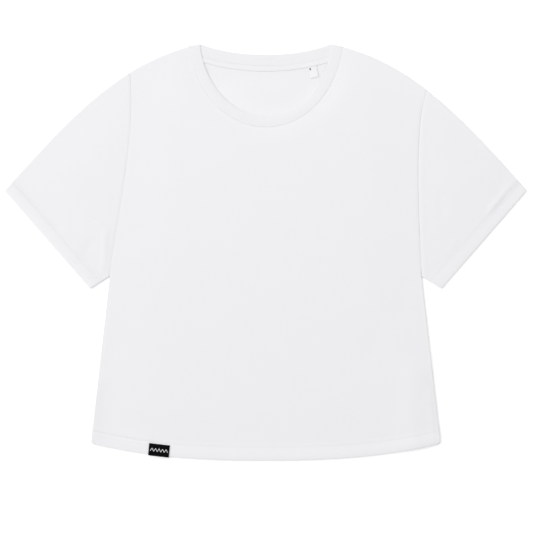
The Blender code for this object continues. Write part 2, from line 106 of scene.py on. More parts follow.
# %% Floor
FLOOR_DROP = 0.0004  # below the cloth, so that the two surfaces don't share a plane
FLOOR_HALF = 6.0  # half of the floor's width
PAPER = (0.93, 0.93, 0.93, 1.0)
PAPER_GLOW = 0.12
PAPER_ROUGHNESS = 0.9

bm = bmesh.new()
bmesh.ops.create_grid(bm, x_segments=1, y_segments=1, size=FLOOR_HALF)
bmesh.ops.translate(bm, vec=(0, 0, -FLOOR_DROP), verts=bm.verts)
floor_mesh = bpy.data.meshes.new("floor")
bm.to_mesh(floor_mesh)
bm.free()
floor = bpy.data.objects.new("floor", floor_mesh)
bpy.context.scene.collection.objects.link(floor)

floor_paper = bpy.data.materials.new("white_paper")
floor_paper.use_nodes = True
paper_shader = floor_paper.node_tree.nodes["Principled BSDF"]
paper_shader.inputs["Base Color"].default_value = PAPER
paper_shader.inputs["Roughness"].default_value = PAPER_ROUGHNESS
paper_shader.inputs["Emission Color"].default_value = (1.0, 1.0, 1.0, 1.0)
paper_shader.inputs["Emission Strength"].default_value = PAPER_GLOW
floor_mesh.materials.append(floor_paper)
print("floor at", -FLOOR_DROP)

# %% [markdown]
# ## Node helpers
#
# A material is a small graph of nodes. Three helpers keep such a graph readable: one adds a node and
# either sets or links each of its inputs, one writes a step of arithmetic as a single line, and one
# starts a group of nodes that several materials can share.

# %% Node helpers
def add_node(tree, kind, values=(), **settings):
    """A node whose inputs are set to numbers or linked to other nodes' outputs."""
    node = tree.nodes.new(kind)
    for name, value in settings.items():
        setattr(node, name, value)
    for socket, value in dict(values).items():
        if isinstance(value, bpy.types.NodeSocket):
            tree.links.new(value, node.inputs[socket])
        else:
            node.inputs[socket].default_value = value
    return node


def calc(tree, operation, *values):
    return add_node(tree, "ShaderNodeMath", enumerate(values), operation=operation).outputs[0]


def new_group(name, inputs, outputs):
    """An empty node group, with its own inputs' outputs and its outputs' inputs."""
    group = bpy.data.node_groups.new(name, "ShaderNodeTree")
    for socket, (kind, value) in inputs.items():
        made = group.interface.new_socket(socket, in_out="INPUT", socket_type="NodeSocket" + kind)
        if value is not None:
            made.default_value = value
    for socket, kind in outputs.items():
        group.interface.new_socket(socket, in_out="OUTPUT", socket_type="NodeSocket" + kind)
    given = group.nodes.new("NodeGroupInput").outputs
    made = group.nodes.new("NodeGroupOutput").inputs
    return group, given, made


print("helpers for nodes: add_node, calc, new_group")

# %% [markdown]
# ## Knit, weave and cotton
#
# Jersey is knitted: every stitch is a small V, and the Vs stand in columns called wales. A stitch is
# under a millimetre, so its relief is a bump and not a mesh. The V comes from a cosine along the
# cloth whose phase grows towards both sides of each column. The pattern reads the piece's own UV map,
# which is in metres, so the knit runs with the cloth. Weave is two such waves that cross, and cotton
# is a soft unevenness of tone and thickness. Each is a node group that all the cloths share.

# %% Knit group
LEG_CLIMB = 0.6  # share of a course that a stitch's leg climbs across its column
COLUMN_ROUND = 0.6  # share of the height that falls away at a column's sides


def fraction_ridge(tree, value):
    """0 in the middle of each unit step and 1 at its ends."""
    off_middle = calc(tree, "SUBTRACT", calc(tree, "FRACT", value), 0.5)
    return calc(tree, "MULTIPLY", calc(tree, "ABSOLUTE", off_middle), 2.0)


def knit_group():
    inputs = {"Cloth": ("Vector", None), "Wale": ("Float", 0.001), "Course": ("Float", 0.001)}
    group, given, made = new_group("knit_stitches", inputs, {"Height": "Float"})
    place = add_node(group, "ShaderNodeSeparateXYZ", {0: given["Cloth"]}).outputs
    side = fraction_ridge(group, calc(group, "DIVIDE", place["X"], given["Wale"]))
    course = calc(group, "DIVIDE", place["Y"], given["Course"])
    phase = calc(group, "MULTIPLY", calc(group, "MULTIPLY_ADD", side, LEG_CLIMB, course), math.tau)
    leg = calc(group, "MULTIPLY_ADD", calc(group, "COSINE", phase), 0.5, 0.5)
    off_leg = calc(group, "MULTIPLY_ADD", side, 2.0, -1.0)
    roundness = calc(group, "SUBTRACT", 1.0, calc(group, "MULTIPLY", off_leg, off_leg))
    body = calc(group, "MULTIPLY_ADD", roundness, COLUMN_ROUND, 1 - COLUMN_ROUND)
    group.links.new(calc(group, "MULTIPLY", leg, body), made["Height"])
    return group


KNIT = knit_group()
print("group:", KNIT.name)

# %% Weave group
def weave_group():
    inputs = {"Cloth": ("Vector", None), "Thread": ("Float", 0.0005)}
    group, given, made = new_group("woven_threads", inputs, {"Height": "Float"})
    place = add_node(group, "ShaderNodeSeparateXYZ", {0: given["Cloth"]}).outputs
    waves = []
    for ahead, across in (("X", "Y"), ("Y", "X")):
        turn = calc(group, "MULTIPLY", calc(group, "DIVIDE", place[ahead], given["Thread"]), math.pi)
        row = calc(group, "FLOOR", calc(group, "DIVIDE", place[across], given["Thread"]))
        wave = calc(group, "SINE", calc(group, "MULTIPLY_ADD", row, math.pi, turn))
        waves.append(calc(group, "MULTIPLY_ADD", wave, 0.5, 0.5))
    group.links.new(calc(group, "MAXIMUM", *waves), made["Height"])
    return group


WEAVE = weave_group()
print("group:", WEAVE.name)

# %% Cotton group
PATCH_SCALE = 14.0  # patches to the metre, a hand's breadth each
FUZZ_SCALE = 1100.0  # a fibre's tangle is just under a millimetre
# The same step also carries the painted light inside the neck and the painted shade in the cuffs'
# seams.
TONE_PER_UNIT = 0.014  # two layers let less of the table show through than one


def cotton_group():
    """Soft tone patches, whiter doubled cloth, painted light and shade, and spun cotton's fuzz."""
    inputs = {"Place": ("Vector", None), "Colour": ("Color", None)}
    inputs |= {"Patches": ("Float", 0.01), "DoubledAndPaintedLight": ("Float", 0.0)}
    group, given, made = new_group("cotton", inputs, {"Colour": "Color", "Fuzz": "Float"})
    patches = add_node(
        group, "ShaderNodeTexNoise", {"Vector": given["Place"], "Scale": PATCH_SCALE, "Detail": 3.0}
    )
    fuzz = add_node(
        group, "ShaderNodeTexNoise", {"Vector": given["Place"], "Scale": FUZZ_SCALE, "Detail": 2.0}
    )
    uneven = calc(group, "MULTIPLY_ADD", patches.outputs["Fac"], 2.0, -1.0)
    whiter = calc(group, "MULTIPLY_ADD", given["DoubledAndPaintedLight"], TONE_PER_UNIT, 1.0)
    factor = calc(group, "MULTIPLY_ADD", uneven, given["Patches"], whiter)
    toned = add_node(
        group, "ShaderNodeVectorMath", {0: given["Colour"], "Scale": factor}, operation="SCALE"
    )
    group.links.new(toned.outputs["Vector"], made["Colour"])
    group.links.new(fuzz.outputs["Fac"], made["Fuzz"])
    return group


COTTON = cotton_group()
print("group:", COTTON.name)

# %% Cloth materials
DULL = 0.2  # specular level of dry cotton
SHEEN_SPREAD = 0.5
FUZZ_SHARE = 0.35  # how high the fuzz stands against the threads
BUMP_STRENGTH = 0.6


def use_group(tree, group, values):
    return add_node(tree, "ShaderNodeGroup", values, node_tree=group).outputs


def new_cloth(name, colour, pattern, thread_size, roughness, relief, patches=0.008, sheen=0.15):
    """A cloth: its tone from the cotton group and its relief, in metres, from a knit or a weave."""
    material = bpy.data.materials.new(name)
    material.use_nodes = True
    tree = material.node_tree
    shader = tree.nodes["Principled BSDF"]
    shader.inputs["Roughness"].default_value = roughness
    shader.inputs["Specular IOR Level"].default_value = DULL
    shader.inputs["Sheen Weight"].default_value = sheen
    shader.inputs["Sheen Roughness"].default_value = SHEEN_SPREAD
    place = tree.nodes.new("ShaderNodeTexCoord").outputs["Object"]
    cloth = add_node(tree, "ShaderNodeUVMap", uv_map="cloth").outputs["UV"]
    # the tone attribute: whiter over doubled cloth and painted light, darker under painted shade
    doubled_and_painted_light = add_node(tree, "ShaderNodeAttribute", attribute_name="doubled_and_painted_light").outputs["Fac"]
    values = {"Place": place, "Colour": (*colour, 1), "Patches": patches, "DoubledAndPaintedLight": doubled_and_painted_light}
    cotton = use_group(tree, COTTON, values)
    threads = use_group(tree, pattern, {"Cloth": cloth, **thread_size})
    height = calc(tree, "MULTIPLY_ADD", cotton["Fuzz"], FUZZ_SHARE, threads["Height"])
    depth = {"Height": height, "Distance": relief, "Strength": BUMP_STRENGTH}
    bump = add_node(tree, "ShaderNodeBump", depth)
    tree.links.new(bump.outputs["Normal"], shader.inputs["Normal"])
    tree.links.new(cotton["Colour"], shader.inputs["Base Color"])
    return material


print("every cloth has a specular level of", DULL)

# %% Jersey, rib, tape and thread
JERSEY_WALE = 0.00085
JERSEY_COURSE = 0.00065
JERSEY_COLOUR = (0.774, 0.774, 0.789)
INSIDE_COLOUR = (0.772, 0.772, 0.787)
RIB_COLOUR = (0.763, 0.763, 0.778)
TAPE_COLOUR = (0.770, 0.770, 0.785)
THREAD_COLOUR = (0.79, 0.79, 0.80)
RIB_SHEEN = 0.8  # a rib's many small ridges catch light that comes from the side
stitch_size = {"Wale": JERSEY_WALE, "Course": JERSEY_COURSE}
purl_size = {"Wale": JERSEY_COURSE, "Course": JERSEY_WALE}  # the wrong side's loops lie across
ply_size = {"Thread": 0.0002}
jersey = new_cloth("jersey", JERSEY_COLOUR, KNIT, stitch_size, roughness=0.9, relief=0.00007)
jersey_inside = new_cloth(
    "jersey_inside", INSIDE_COLOUR, KNIT, purl_size, roughness=0.92, relief=0.00006
)
rib_knit = new_cloth(
    "rib_knit", RIB_COLOUR, KNIT, stitch_size, roughness=0.92, relief=0.00005, sheen=RIB_SHEEN
)
tape_jersey = new_cloth("tape_jersey", TAPE_COLOUR, KNIT, purl_size, roughness=0.9, relief=0.00006)
white_thread = new_cloth(
    "white_thread", THREAD_COLOUR, WEAVE, ply_size, roughness=0.8, relief=0.00003
)
print("cloth materials:", len([m for m in bpy.data.materials if m.use_nodes]))

# %% [markdown]
# ## The outline
#
# A t-shirt is drafted as curves: the shoulder and sleeve share one top edge, the hem dips in the
# middle, and each armhole is a curve of its own. The same curves shape the plain model, so they are
# written again here from the same sizes. All of them work on whole rows of points at once.

# %% Curve helpers
def bezier(start, pull, push, end, shares):
    t = np.asarray(shares)[..., None]
    s = 1 - t
    return s**3 * start + 3 * s * s * t * pull + 3 * s * t * t * push + t**3 * end


def smooth(t):
    """0 to 1 with a level start and end."""
    t = np.clip(t, 0, 1)
    return t * t * (3 - 2 * t)


def line_length(points):
    return np.linalg.norm(np.diff(points, axis=0), axis=1).sum()


def along(points):
    """A function of 0 to 1 that runs along a line of points at an even pace."""
    points = np.asarray(points)
    steps = np.linalg.norm(np.diff(points, axis=0), axis=1)
    reach = np.concatenate([[0], np.cumsum(steps)]) / steps.sum()
    return lambda t: np.stack([np.interp(t, reach, column) for column in points.T], axis=-1)


print("helpers for curves: bezier, smooth, line_length, along")

# %% Patches and distances
def joined(*stretches):
    """One function of 0 to 1 from stretches, each a pair of a function and the value where it ends."""

    def place(t):
        t = np.atleast_1d(np.asarray(t, float))
        points, start = np.zeros((len(t), 2)), 0.0
        for stretch, end in stretches:
            inside = (t >= start) & (t <= end)
            points[inside] = stretch((t[inside] - start) / (end - start))
            start = end
        return points

    return place


def coons(low, high, first, last, u, v):
    """Points across a patch between two rows of cloth, low and high, and its two sides."""
    u = np.asarray(u)[:, None]
    row = (1 - v) * low(u[:, 0]) + v * high(u[:, 0]) + (1 - u) * first(v) + u * last(v)
    corners = (1 - u) * ((1 - v) * low([0.0]) + v * high([0.0]))
    corners = corners + u * ((1 - v) * low([1.0]) + v * high([1.0]))
    return row - corners


def distance_to(line, x, y):
    """How far points are from a line of points."""
    nearest = np.full(np.shape(x), np.inf)
    for (x0, y0), (x1, y1) in zip(line[:-1], line[1:]):
        run_x, run_y = x1 - x0, y1 - y0
        share = np.clip(((x - x0) * run_x + (y - y0) * run_y) / (run_x**2 + run_y**2), 0, 1)
        nearest = np.minimum(nearest, np.hypot(x - x0 - share * run_x, y - y0 - share * run_y))
    return nearest


print("helpers for patches: joined, coons, distance_to")

# %% Sizes of the shirt
SIDES = {"left": -1, "right": 1}  # as seen
NECK_Y = 0.333
HALF_NECK = 0.105
HALF_CHEST = 0.2493
HALF_SWEEP = 0.2798
UNDERARM_Y = -0.0386
HEM_RISE = 0.0272  # the hem's ends lie this much above its middle
HEM_POWER = 2.5
CORNER = 0.005  # radius of the hem's rounded ends
SHOULDER_SLOPE = math.radians(12.6)
SHOULDER_PULL = 0.1308
SLEEVE_SLOPE = math.radians(48.1)
SLEEVE_PULL = 0.1605
CUFF_TOP = np.array([0.4176, 0.0987])
CUFF_BOTTOM = np.array([0.2808, -0.0582])
ARMHOLES = {
    # where the seam meets the top edge, and the two handles of its curve
    "left": {"top_x": 0.2166, "upper": (0.2076, 0.1760), "lower": (0.2362, 0.0653)},
    "right": {"top_x": 0.2570, "upper": (0.2391, 0.2055), "lower": (0.2426, 0.0905)},
}


print("the chest is", 2 * HALF_CHEST, "m wide and the hem", 2 * HALF_SWEEP)

# %% Top edge, hem and sides
def slope_step(slope, length):
    return length * np.array([math.cos(slope), -math.sin(slope)])


NECK_POINT = np.array([HALF_NECK, NECK_Y])
TOP_POINTS = 240
TOP_EDGE = bezier(
    NECK_POINT,
    NECK_POINT + slope_step(SHOULDER_SLOPE, SHOULDER_PULL),
    CUFF_TOP - slope_step(SLEEVE_SLOPE, SLEEVE_PULL),
    CUFF_TOP,
    np.linspace(0, 1, TOP_POINTS),
)


def top_edge_y(x):
    return np.interp(np.abs(x), TOP_EDGE[:, 0], TOP_EDGE[:, 1])


def top_edge(x_from, x_to, steps):
    x = np.linspace(x_from, x_to, steps + 1)
    return np.stack([x, top_edge_y(x)], axis=1)


def hem_y(x):
    return -NECK_Y + HEM_RISE * np.abs(x / HALF_SWEEP) ** HEM_POWER


HEM_END_Y = hem_y(HALF_SWEEP)


def side_x(y):
    """Half the body's width below the underarm, with the hem's rounded corner."""
    slope = (HALF_SWEEP - HALF_CHEST) / (UNDERARM_Y - HEM_END_Y)
    into_corner = np.clip(1 - (y - HEM_END_Y) / CORNER, 0, 1)
    return HALF_CHEST + slope * (UNDERARM_Y - y) - CORNER * (1 - np.sqrt(1 - into_corner**2))


print("hem ends at y", round(float(HEM_END_Y), 4), "and the top edge at", round(TOP_EDGE[-1][1], 4))

# %% Armholes
def armhole(side, steps=60):
    """Points from the top edge down to the underarm, with x counted outwards."""
    shape = ARMHOLES[side]
    start = np.array([shape["top_x"], top_edge_y(shape["top_x"])])
    end = np.array([HALF_CHEST, UNDERARM_Y])
    upper, lower = np.array(shape["upper"]), np.array(shape["lower"])
    return bezier(start, upper, lower, end, np.linspace(0, 1, steps + 1))


ARMHOLE_LINES = {side: armhole(side) for side in SIDES}


def body_edge_x(x, y):
    """Half the body's width at this height, on the side that x is on."""
    edges = []
    for side in SIDES:
        hole = ARMHOLE_LINES[side][::-1]
        edges.append(np.where(y <= UNDERARM_Y, side_x(y), np.interp(y, hole[:, 1], hole[:, 0])))
    return np.where(x < 0, *edges)


for side, hole in ARMHOLE_LINES.items():
    print(side, "armhole's seam:", round(line_length(hole), 3), "m")

# %% [markdown]
# ## How a piece of cloth is made
#
# Cloth starts flat, so each piece starts as a flat grid. Its columns and rows are then laid where the
# garment has them: over the table, round a folded hem, or round a sleeve. Where the last column comes
# back to the first, the doubled points are merged. A Solidify modifier gives the sheet its thickness
# at the end, with the cloth's wrong side in a second material.

# %% Cloth helpers
JERSEY = 0.0007  # thickness of one layer
FLAT_STEP = 1e-6  # points closer than this are one point


def finished_mesh(name, bm):
    mesh = bpy.data.meshes.new(name)
    bm.to_mesh(mesh)
    bm.free()
    mesh.shade_smooth()
    return mesh


def laid_grid(name, columns, rows, place, closed=False):
    """A flat grid laid by place(columns, row): x, y, z, the cloth's u, v and how much whiter it is."""
    laid = np.array([place(np.asarray(columns), row) for row in rows])
    bm = bmesh.new()
    across, up = len(columns) - 1, len(rows) - 1
    bmesh.ops.create_grid(bm, x_segments=across, y_segments=up, size=0.5)
    cloth = bm.loops.layers.uv.new("cloth")
    # the tone per point: whiter over doubled cloth and painted light, darker under painted shade
    doubled_and_painted_light = bm.verts.layers.float.new("doubled_and_painted_light")
    spots = {v: (round((v.co.y + 0.5) * up), round((v.co.x + 0.5) * across)) for v in bm.verts}
    for face in bm.faces:
        for loop in face.loops:
            loop[cloth].uv = laid[spots[loop.vert]][3:5]
    for vert, spot in spots.items():
        vert.co = laid[spot][:3]
        vert[doubled_and_painted_light] = laid[spot][5]
    if closed:
        bmesh.ops.remove_doubles(bm, verts=bm.verts, dist=FLAT_STEP)
        bmesh.ops.recalc_face_normals(bm, faces=bm.faces)
    return finished_mesh(name, bm)


print("one layer of jersey is", 1000 * JERSEY, "mm thick")

# %% Piece helpers
def add_piece(name, mesh, materials, nodes=()):
    """An object for a mesh, which rides on the shirt and stands for the plain nodes named."""
    for material in materials:
        mesh.materials.append(material)
    obj = bpy.data.objects.new(name, mesh)
    bpy.context.scene.collection.objects.link(obj)
    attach(obj, "root")
    if nodes:
        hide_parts(*nodes)
    return obj


def add_thickness(obj, thickness):
    """Gives a sheet its thickness, half to each side, with its second material inside."""
    wall = obj.modifiers.new("thickness", "SOLIDIFY")
    wall.thickness = thickness
    wall.offset = 0.0
    wall.material_offset = 1


def tell(obj):
    """Prints what was made."""
    shape = obj.evaluated_get(bpy.context.evaluated_depsgraph_get()).to_mesh()
    triangles = sum(len(face.vertices) - 2 for face in shape.polygons)
    print(obj.name, "has", triangles, "triangles")


def add_cloth(name, mesh, materials, node, thickness):
    """A sheet with its thickness: its two materials are those of its two faces."""
    obj = add_piece(name, mesh, materials, [node])
    add_thickness(obj, thickness)
    tell(obj)
    return obj


print("helpers for pieces: add_piece, add_thickness, tell, add_cloth")

# %% [markdown]
# ## Creases
#
# Cloth that was folded, packed and smoothed by hand keeps a few soft marks. Each one here is a short
# line with a width and a height, and the surface rises or sinks round it like a wave that has almost
# gone. They are listed one by one and all differ, as real ones do. None is more than two millimetres
# high.

# %% Creases
def groove(distance, depth, half_width):
    """A soft bell over a line, as deep as it says where the distance is nothing."""
    return depth * np.exp(-((distance / half_width) ** 2))


FRONT_CREASES = (
    # points of the line, half width, height
    (((0.262, -0.225), (0.268, -0.300)), 0.006, 0.0006),
    (((0.238, -0.200), (0.240, -0.300)), 0.028, 0.0019),
    (((-0.276, -0.215), (-0.283, -0.315)), 0.014, 0.0013),
    (((-0.225, -0.020), (-0.150, 0.030)), 0.022, 0.0003),
    (((0.225, -0.060), (0.170, -0.160)), 0.025, -0.0005),
    (((-0.192, -0.158), (-0.186, -0.180)), 0.004, 0.0002),
    (((-0.036, -0.158), (-0.026, -0.178)), 0.003, 0.0002),
    (((-0.262, -0.240), (-0.235, -0.290)), 0.018, -0.0006),
    (((-0.274, -0.2855), (-0.190, -0.3007)), 0.010, 0.0009),
)
SLEEVE_CREASES = {
    "left": (
        (((-0.256, 0.030), (-0.259, -0.026)), 0.006, 0.0006),
        (((-0.322, 0.030), (-0.292, -0.004)), 0.009, 0.0006),
        (((-0.280, 0.012), (-0.296, -0.014)), 0.008, -0.0005),
        (((-0.355, 0.170), (-0.300, 0.120)), 0.030, 0.0004),
    ),
    "right": (
        (((0.303, 0.016), (0.286, -0.004)), 0.007, 0.0003),
        (((0.279, 0.085), (0.283, 0.055)), 0.006, -0.0003),
        (((0.402, 0.135), (0.385, 0.095)), 0.018, -0.0009),
        (((0.394, 0.1125), (0.359, 0.0680)), 0.0055, 0.0007),
    ),
}


def crease_height(creases, x, y):
    """The sum of all the creases' heights, each fading like a bell to both sides of its line."""
    total = np.zeros(np.shape(x))
    for line, half_width, height in creases:
        total += groove(distance_to(line, x, y), height, half_width)
    return total


print("creases:", len(FRONT_CREASES) + sum(len(table) for table in SLEEVE_CREASES.values()))

# %% [markdown]
# ## Hems
#
# A hem is cloth folded to the inside and sewn with two parallel rows of stitches. The seam pulls a
# groove at each row and the doubled cloth stands a little proud. The height over a hem depends on
# the distance from the edge, so a short table of that profile serves every hem. Pressing has almost
# smoothed the grooves out in places, so they also have a strength that changes along the hem. At the
# edge the sheet really turns: it runs round a small half circle and back inside.

# %% Hem profile
HEM_DEPTH = 0.020
HEM_ROW_GAP = 0.0056  # between the two rows of stitches
HEM_TOP = 0.027  # above this the cloth no longer feels the hem
HEM_BAND = np.array(
    [
        # distance from the edge, height
        (0.0000, 0.0001),
        (0.0010, 0.0004),
        (0.0030, 0.0007),
        (0.0065, 0.0009),
        (0.0100, 0.0008),
        (0.0150, 0.0005),
        (0.0195, 0.0003),
        (0.0215, 0.0003),
        (0.0235, 0.0003),
        (0.0270, 0.0000),
    ]
)
HEM_GROOVES = (
    # distance from the edge, half width, depth
    (HEM_DEPTH, 0.0022, 0.00060),
    (HEM_DEPTH - HEM_ROW_GAP, 0.0010, 0.00024),
)
WEAK_HEM = 0.12  # strength of the grooves where the seam has been smoothed out
HEM_TURN = 0.00038  # radius of the fold, at the middle of the cloth
FOLD_ROWS = 8
DOUBLED_SHORT = 0.001  # the cut edge inside lies this far below the upper row of stitches
DOUBLED_FADE = 0.0015  # and shows through this softly
# rows of the grid over the hem and inside it, in mm from the edge, closest where the grooves are
OVER_HEM = [1.7, 3, 4.5, 6, 8.5, 11, 12.6, 13.4, 14, 14.4, 14.8, 15.4, 17.2]
OVER_HEM += [18.4, 19.2, 19.7, 20, 20.3, 20.9, 21.7, 23, 25, 27]
HEM_RISES = np.array(OVER_HEM) / 1000
INNER_RISES = np.array([19.5, 18.5, 15.0, 10.0, 5.0, 2.0]) / 1000


print("a hem is", 1000 * HEM_DEPTH, "mm deep and laid in", len(HEM_RISES), "rows")

# %% Height and rows of a hem
def hem_lift(rise, strength=1.0, swell=1.0):
    """Height added over a hem: a low band with a groove along each row of stitches."""
    band = swell * np.interp(rise, HEM_BAND[:, 0], HEM_BAND[:, 1])
    for row, half_width, depth in HEM_GROOVES:
        band = band - strength * groove(rise - row, depth, half_width)
    return band


def doubled_at_hem(rise):
    """1 where the turned-up cloth lies under the face."""
    return 1 - smooth((rise - HEM_DEPTH + DOUBLED_SHORT) / DOUBLED_FADE)


def hem_rows():
    """Rows from the cut edge inside, round the fold and up to the hem's top: (kind, rise, inset)."""
    inside = [("hem", rise, 2 * HEM_TURN) for rise in INNER_RISES]
    fold = []
    for turn in np.linspace(0, math.pi, FOLD_ROWS):
        rise = JERSEY / 2 + HEM_TURN * (1 - math.sin(turn))
        fold.append(("hem", rise, HEM_TURN * (1 + math.cos(turn))))
    return inside + fold + [("hem", rise, 0.0) for rise in HEM_RISES]


print("hem rows:", len(hem_rows()))

# %% [markdown]
# ## Collar line
#
# The front is cut out along the outer edge of the collar's rib, so the rib's route has to be known
# before the front can be made. The rib's folded edge follows an ellipse at the front and a shallow
# curve at the back, and its width is laid off square to that.

# %% Sizes of the collar
RIB = 0.0012  # room for the doubled rib
RIB_CLOTH = 0.00046  # thickness of one layer of it
LAYER_OFFSET = 0.00024  # each layer lies this far from the strip's middle
RIB_FACE = LAYER_OFFSET + RIB_CLOTH / 2
RIB_WIDTH = 0.018
BUTT_GAP = 0.00004  # between two pieces that meet edge to edge
BODY_TOP = 0.0027  # height of the front over the back, with the air between them
NECK_OVAL = {"centre_y": 0.350, "half_width": 0.106, "half_height": 0.132}
SHOULDER_TURN = 0.00056  # radius of the rib's inner face where it turns over a shoulder
COLLAR_LOW = 0.0021  # height of the rib's middle at the centre front
COLLAR_HIGH = RIB / 2 + 2 * SHOULDER_TURN  # and where it lies over the back neck
COLLAR_DROP_START = math.radians(29)  # angle on the neck oval where the rib leaves the back collar
COLLAR_DROP_SPAN = math.radians(28)  # and the angle over which it comes down
NECKLINE_POINTS = 160
turn_y = NECK_Y - (SHOULDER_TURN + RIB / 2) * math.cos(SHOULDER_SLOPE)
FIRST_ANGLE = math.asin((NECK_OVAL["centre_y"] - turn_y) / NECK_OVAL["half_height"])


print("the collar turns over the shoulders at", round(math.degrees(FIRST_ANGLE), 1), "degrees")

# %% Collar line and neckline
def inside_neck(x, y):
    """How far points lie inside the neck oval, or outside it where this is below zero."""
    across = x / NECK_OVAL["half_width"]
    up = (y - NECK_OVAL["centre_y"]) / NECK_OVAL["half_height"]
    return (1 - np.hypot(across, up)) * NECK_OVAL["half_width"]


def neck_angle(x, y):
    """The angle of any point as seen on the neck oval, up to a right angle at the centre front."""
    down = (NECK_OVAL["centre_y"] - y) / NECK_OVAL["half_height"]
    return np.arctan2(down, np.abs(x) / NECK_OVAL["half_width"])


def collar_middle(angles):
    """Height of the rib's middle: high where it lies on the back collar, low at the centre front."""
    down = smooth((angles - COLLAR_DROP_START) / COLLAR_DROP_SPAN)
    return COLLAR_HIGH + (COLLAR_LOW - COLLAR_HIGH) * down


def front_collar(angles):
    """Folded edge, direction across the rib and height of its middle, at angles on the neck oval."""
    half_width, half_height = NECK_OVAL["half_width"], NECK_OVAL["half_height"]
    x, y = half_width * np.cos(angles), NECK_OVAL["centre_y"] - half_height * np.sin(angles)
    across = np.stack([np.cos(angles) / half_width, -np.sin(angles) / half_height], axis=1)
    across = across / np.linalg.norm(across, axis=1)[:, None]
    return np.stack([x, y], axis=1), across, collar_middle(np.minimum(angles, math.pi - angles))


def collar_corner(gap):
    """Where the collar's outer edge meets the shoulder's edge."""
    x = HALF_NECK + (RIB_WIDTH + gap) * math.cos(SHOULDER_SLOPE)
    return np.array([x, top_edge_y(x)])


def front_neckline(gap):
    """The front's cut edge under the collar, from left to right."""
    inner, across, _ = front_collar(np.linspace(math.pi - FIRST_ANGLE, FIRST_ANGLE, NECKLINE_POINTS))
    line = inner + across * (RIB_WIDTH + gap)
    corner = collar_corner(gap)
    return np.vstack([[corner * (-1, 1)], line[1:-1], [corner]])


FRONT_NECKLINE = front_neckline(BUTT_GAP)
print("front neckline:", round(line_length(FRONT_NECKLINE), 3), "m")

# %% [markdown]
# ## Heights of the front
#
# Seen from above the front is flat, and all that shows is where it dips into a seam or rises beside
# one. Under the shirt's upper layer lie the seam allowances, 6 mm wide, so each seam is a narrow
# groove with a soft ridge beside it. At the sides and shoulders the front turns down to meet the back.

# %% Grooves and falls of the front
FRONT_LOFT = 0.0012
LOFT_REACH = 0.09  # from each edge the cloth's loft grows over this distance
DEEPEST = -0.0004  # no crease sinks the cloth by more than this
NECK_REACH = 0.016  # within this the front comes up to the collar's height
COLLAR_GROOVE = {"depth": 0.00016, "half_width": 0.0030}
ARMHOLE_GROOVE = {"depth": 0.00014, "half_width": 0.0013}
SIDE_GROOVE = {"depth": 0.00015, "half_width": 0.0009}
ALLOWANCE = 0.006  # width of the seam allowances, which double the cloth beside a seam
SEAM_FALLS = {
    # the cloth on this side of each armhole sinks gently to the seam
    "left": {"piece": "sleeve", "depth": 0.0010, "top_reach": 0.0052, "reach": 0.0088},
    "right": {"piece": "body", "depth": 0.00045, "top_reach": 0.0030, "reach": 0.0034},
}
LONG_REACH_AT = 0.250  # so far below the top edge the fall has its full reach
FAINTEST = 0.05  # share of a seam's mark that shows at the top edge
SEAM_STARTS = {"left": 0.004, "right": 0.046}  # how far below the top edge a seam is fully marked
EDGE_MEETS = 0.00138  # height at which front and back meet at the sides
SIDE_SEAMS = {"left": 0.0026, "right": 0.0056}  # how far the side seam has rolled on to the front
HEM_SWELL = (1.0, 0.4)  # how much the hem's band rises where the grooves are weak and strong
HEM_FADE = {"from": -0.205, "to": -0.120}  # the front hem's grooves fade between these two x


print("front and back meet", 1000 * EDGE_MEETS, "mm over the table")

# %% Lines of the seams
SIDE_POINTS = 24


def signed(points, sign):
    return np.asarray(points) * (sign, 1)


side_ys = np.linspace(HEM_END_Y, UNDERARM_Y, SIDE_POINTS)
SIDE_LINES = {
    side: signed(np.stack([side_x(side_ys), side_ys], axis=1), sign) for side, sign in SIDES.items()
}
HOLE_LINES = {side: signed(ARMHOLE_LINES[side], sign) for side, sign in SIDES.items()}
print("side seams:", [round(line_length(line), 3) for line in SIDE_LINES.values()], "m")


# %% Heights of the front
def hem_strength(x):
    return 1 - (1 - WEAK_HEM) * smooth((x - HEM_FADE["from"]) / (HEM_FADE["to"] - HEM_FADE["from"]))


def seam_mark(side, below_top):
    """How clearly an armhole's seam is marked, from hardly at its top to fully."""
    return FAINTEST + (1 - FAINTEST) * smooth(below_top / SEAM_STARTS[side])


def armhole_dip(side, piece, to_hole, below_top):
    """How far a piece sinks towards an armhole's seam."""
    fall = SEAM_FALLS[side]
    depth = groove(to_hole, **ARMHOLE_GROOVE)
    if fall["piece"] == piece:
        reach = np.interp(below_top, (0, LONG_REACH_AT), (fall["top_reach"], fall["reach"]))
        depth = depth + fall["depth"] * np.exp(-to_hole / reach)
    return depth * seam_mark(side, below_top)


def front_height(x, y):
    """Height of the front's face."""
    rise = y - hem_y(x)
    edges = (body_edge_x(x, y) - np.abs(x), rise, top_edge_y(x) - y)
    loft = FRONT_LOFT * np.prod([smooth(distance / LOFT_REACH) for distance in edges], axis=0)
    height = BODY_TOP + np.maximum(loft + crease_height(FRONT_CREASES, x, y), DEEPEST)
    marked = hem_strength(x)
    height += hem_lift(rise, marked, np.interp(marked, (WEAK_HEM, 1), HEM_SWELL))
    from_neck = distance_to(FRONT_NECKLINE, x, y)
    at_collar = groove(from_neck, 1.0, NECK_REACH)
    height += at_collar * (collar_middle(neck_angle(x, y)) + RIB_FACE - height)
    height -= groove(from_neck, **COLLAR_GROOVE)
    for side, sign in SIDES.items():
        to_hole = distance_to(HOLE_LINES[side], x, y)
        height -= armhole_dip(side, "body", to_hole, top_edge_y(x) - y)
        from_side = np.abs(distance_to(SIDE_LINES[side], x, y) - SIDE_SEAMS[side])
        height -= groove(from_side, **SIDE_GROOVE)
    return height


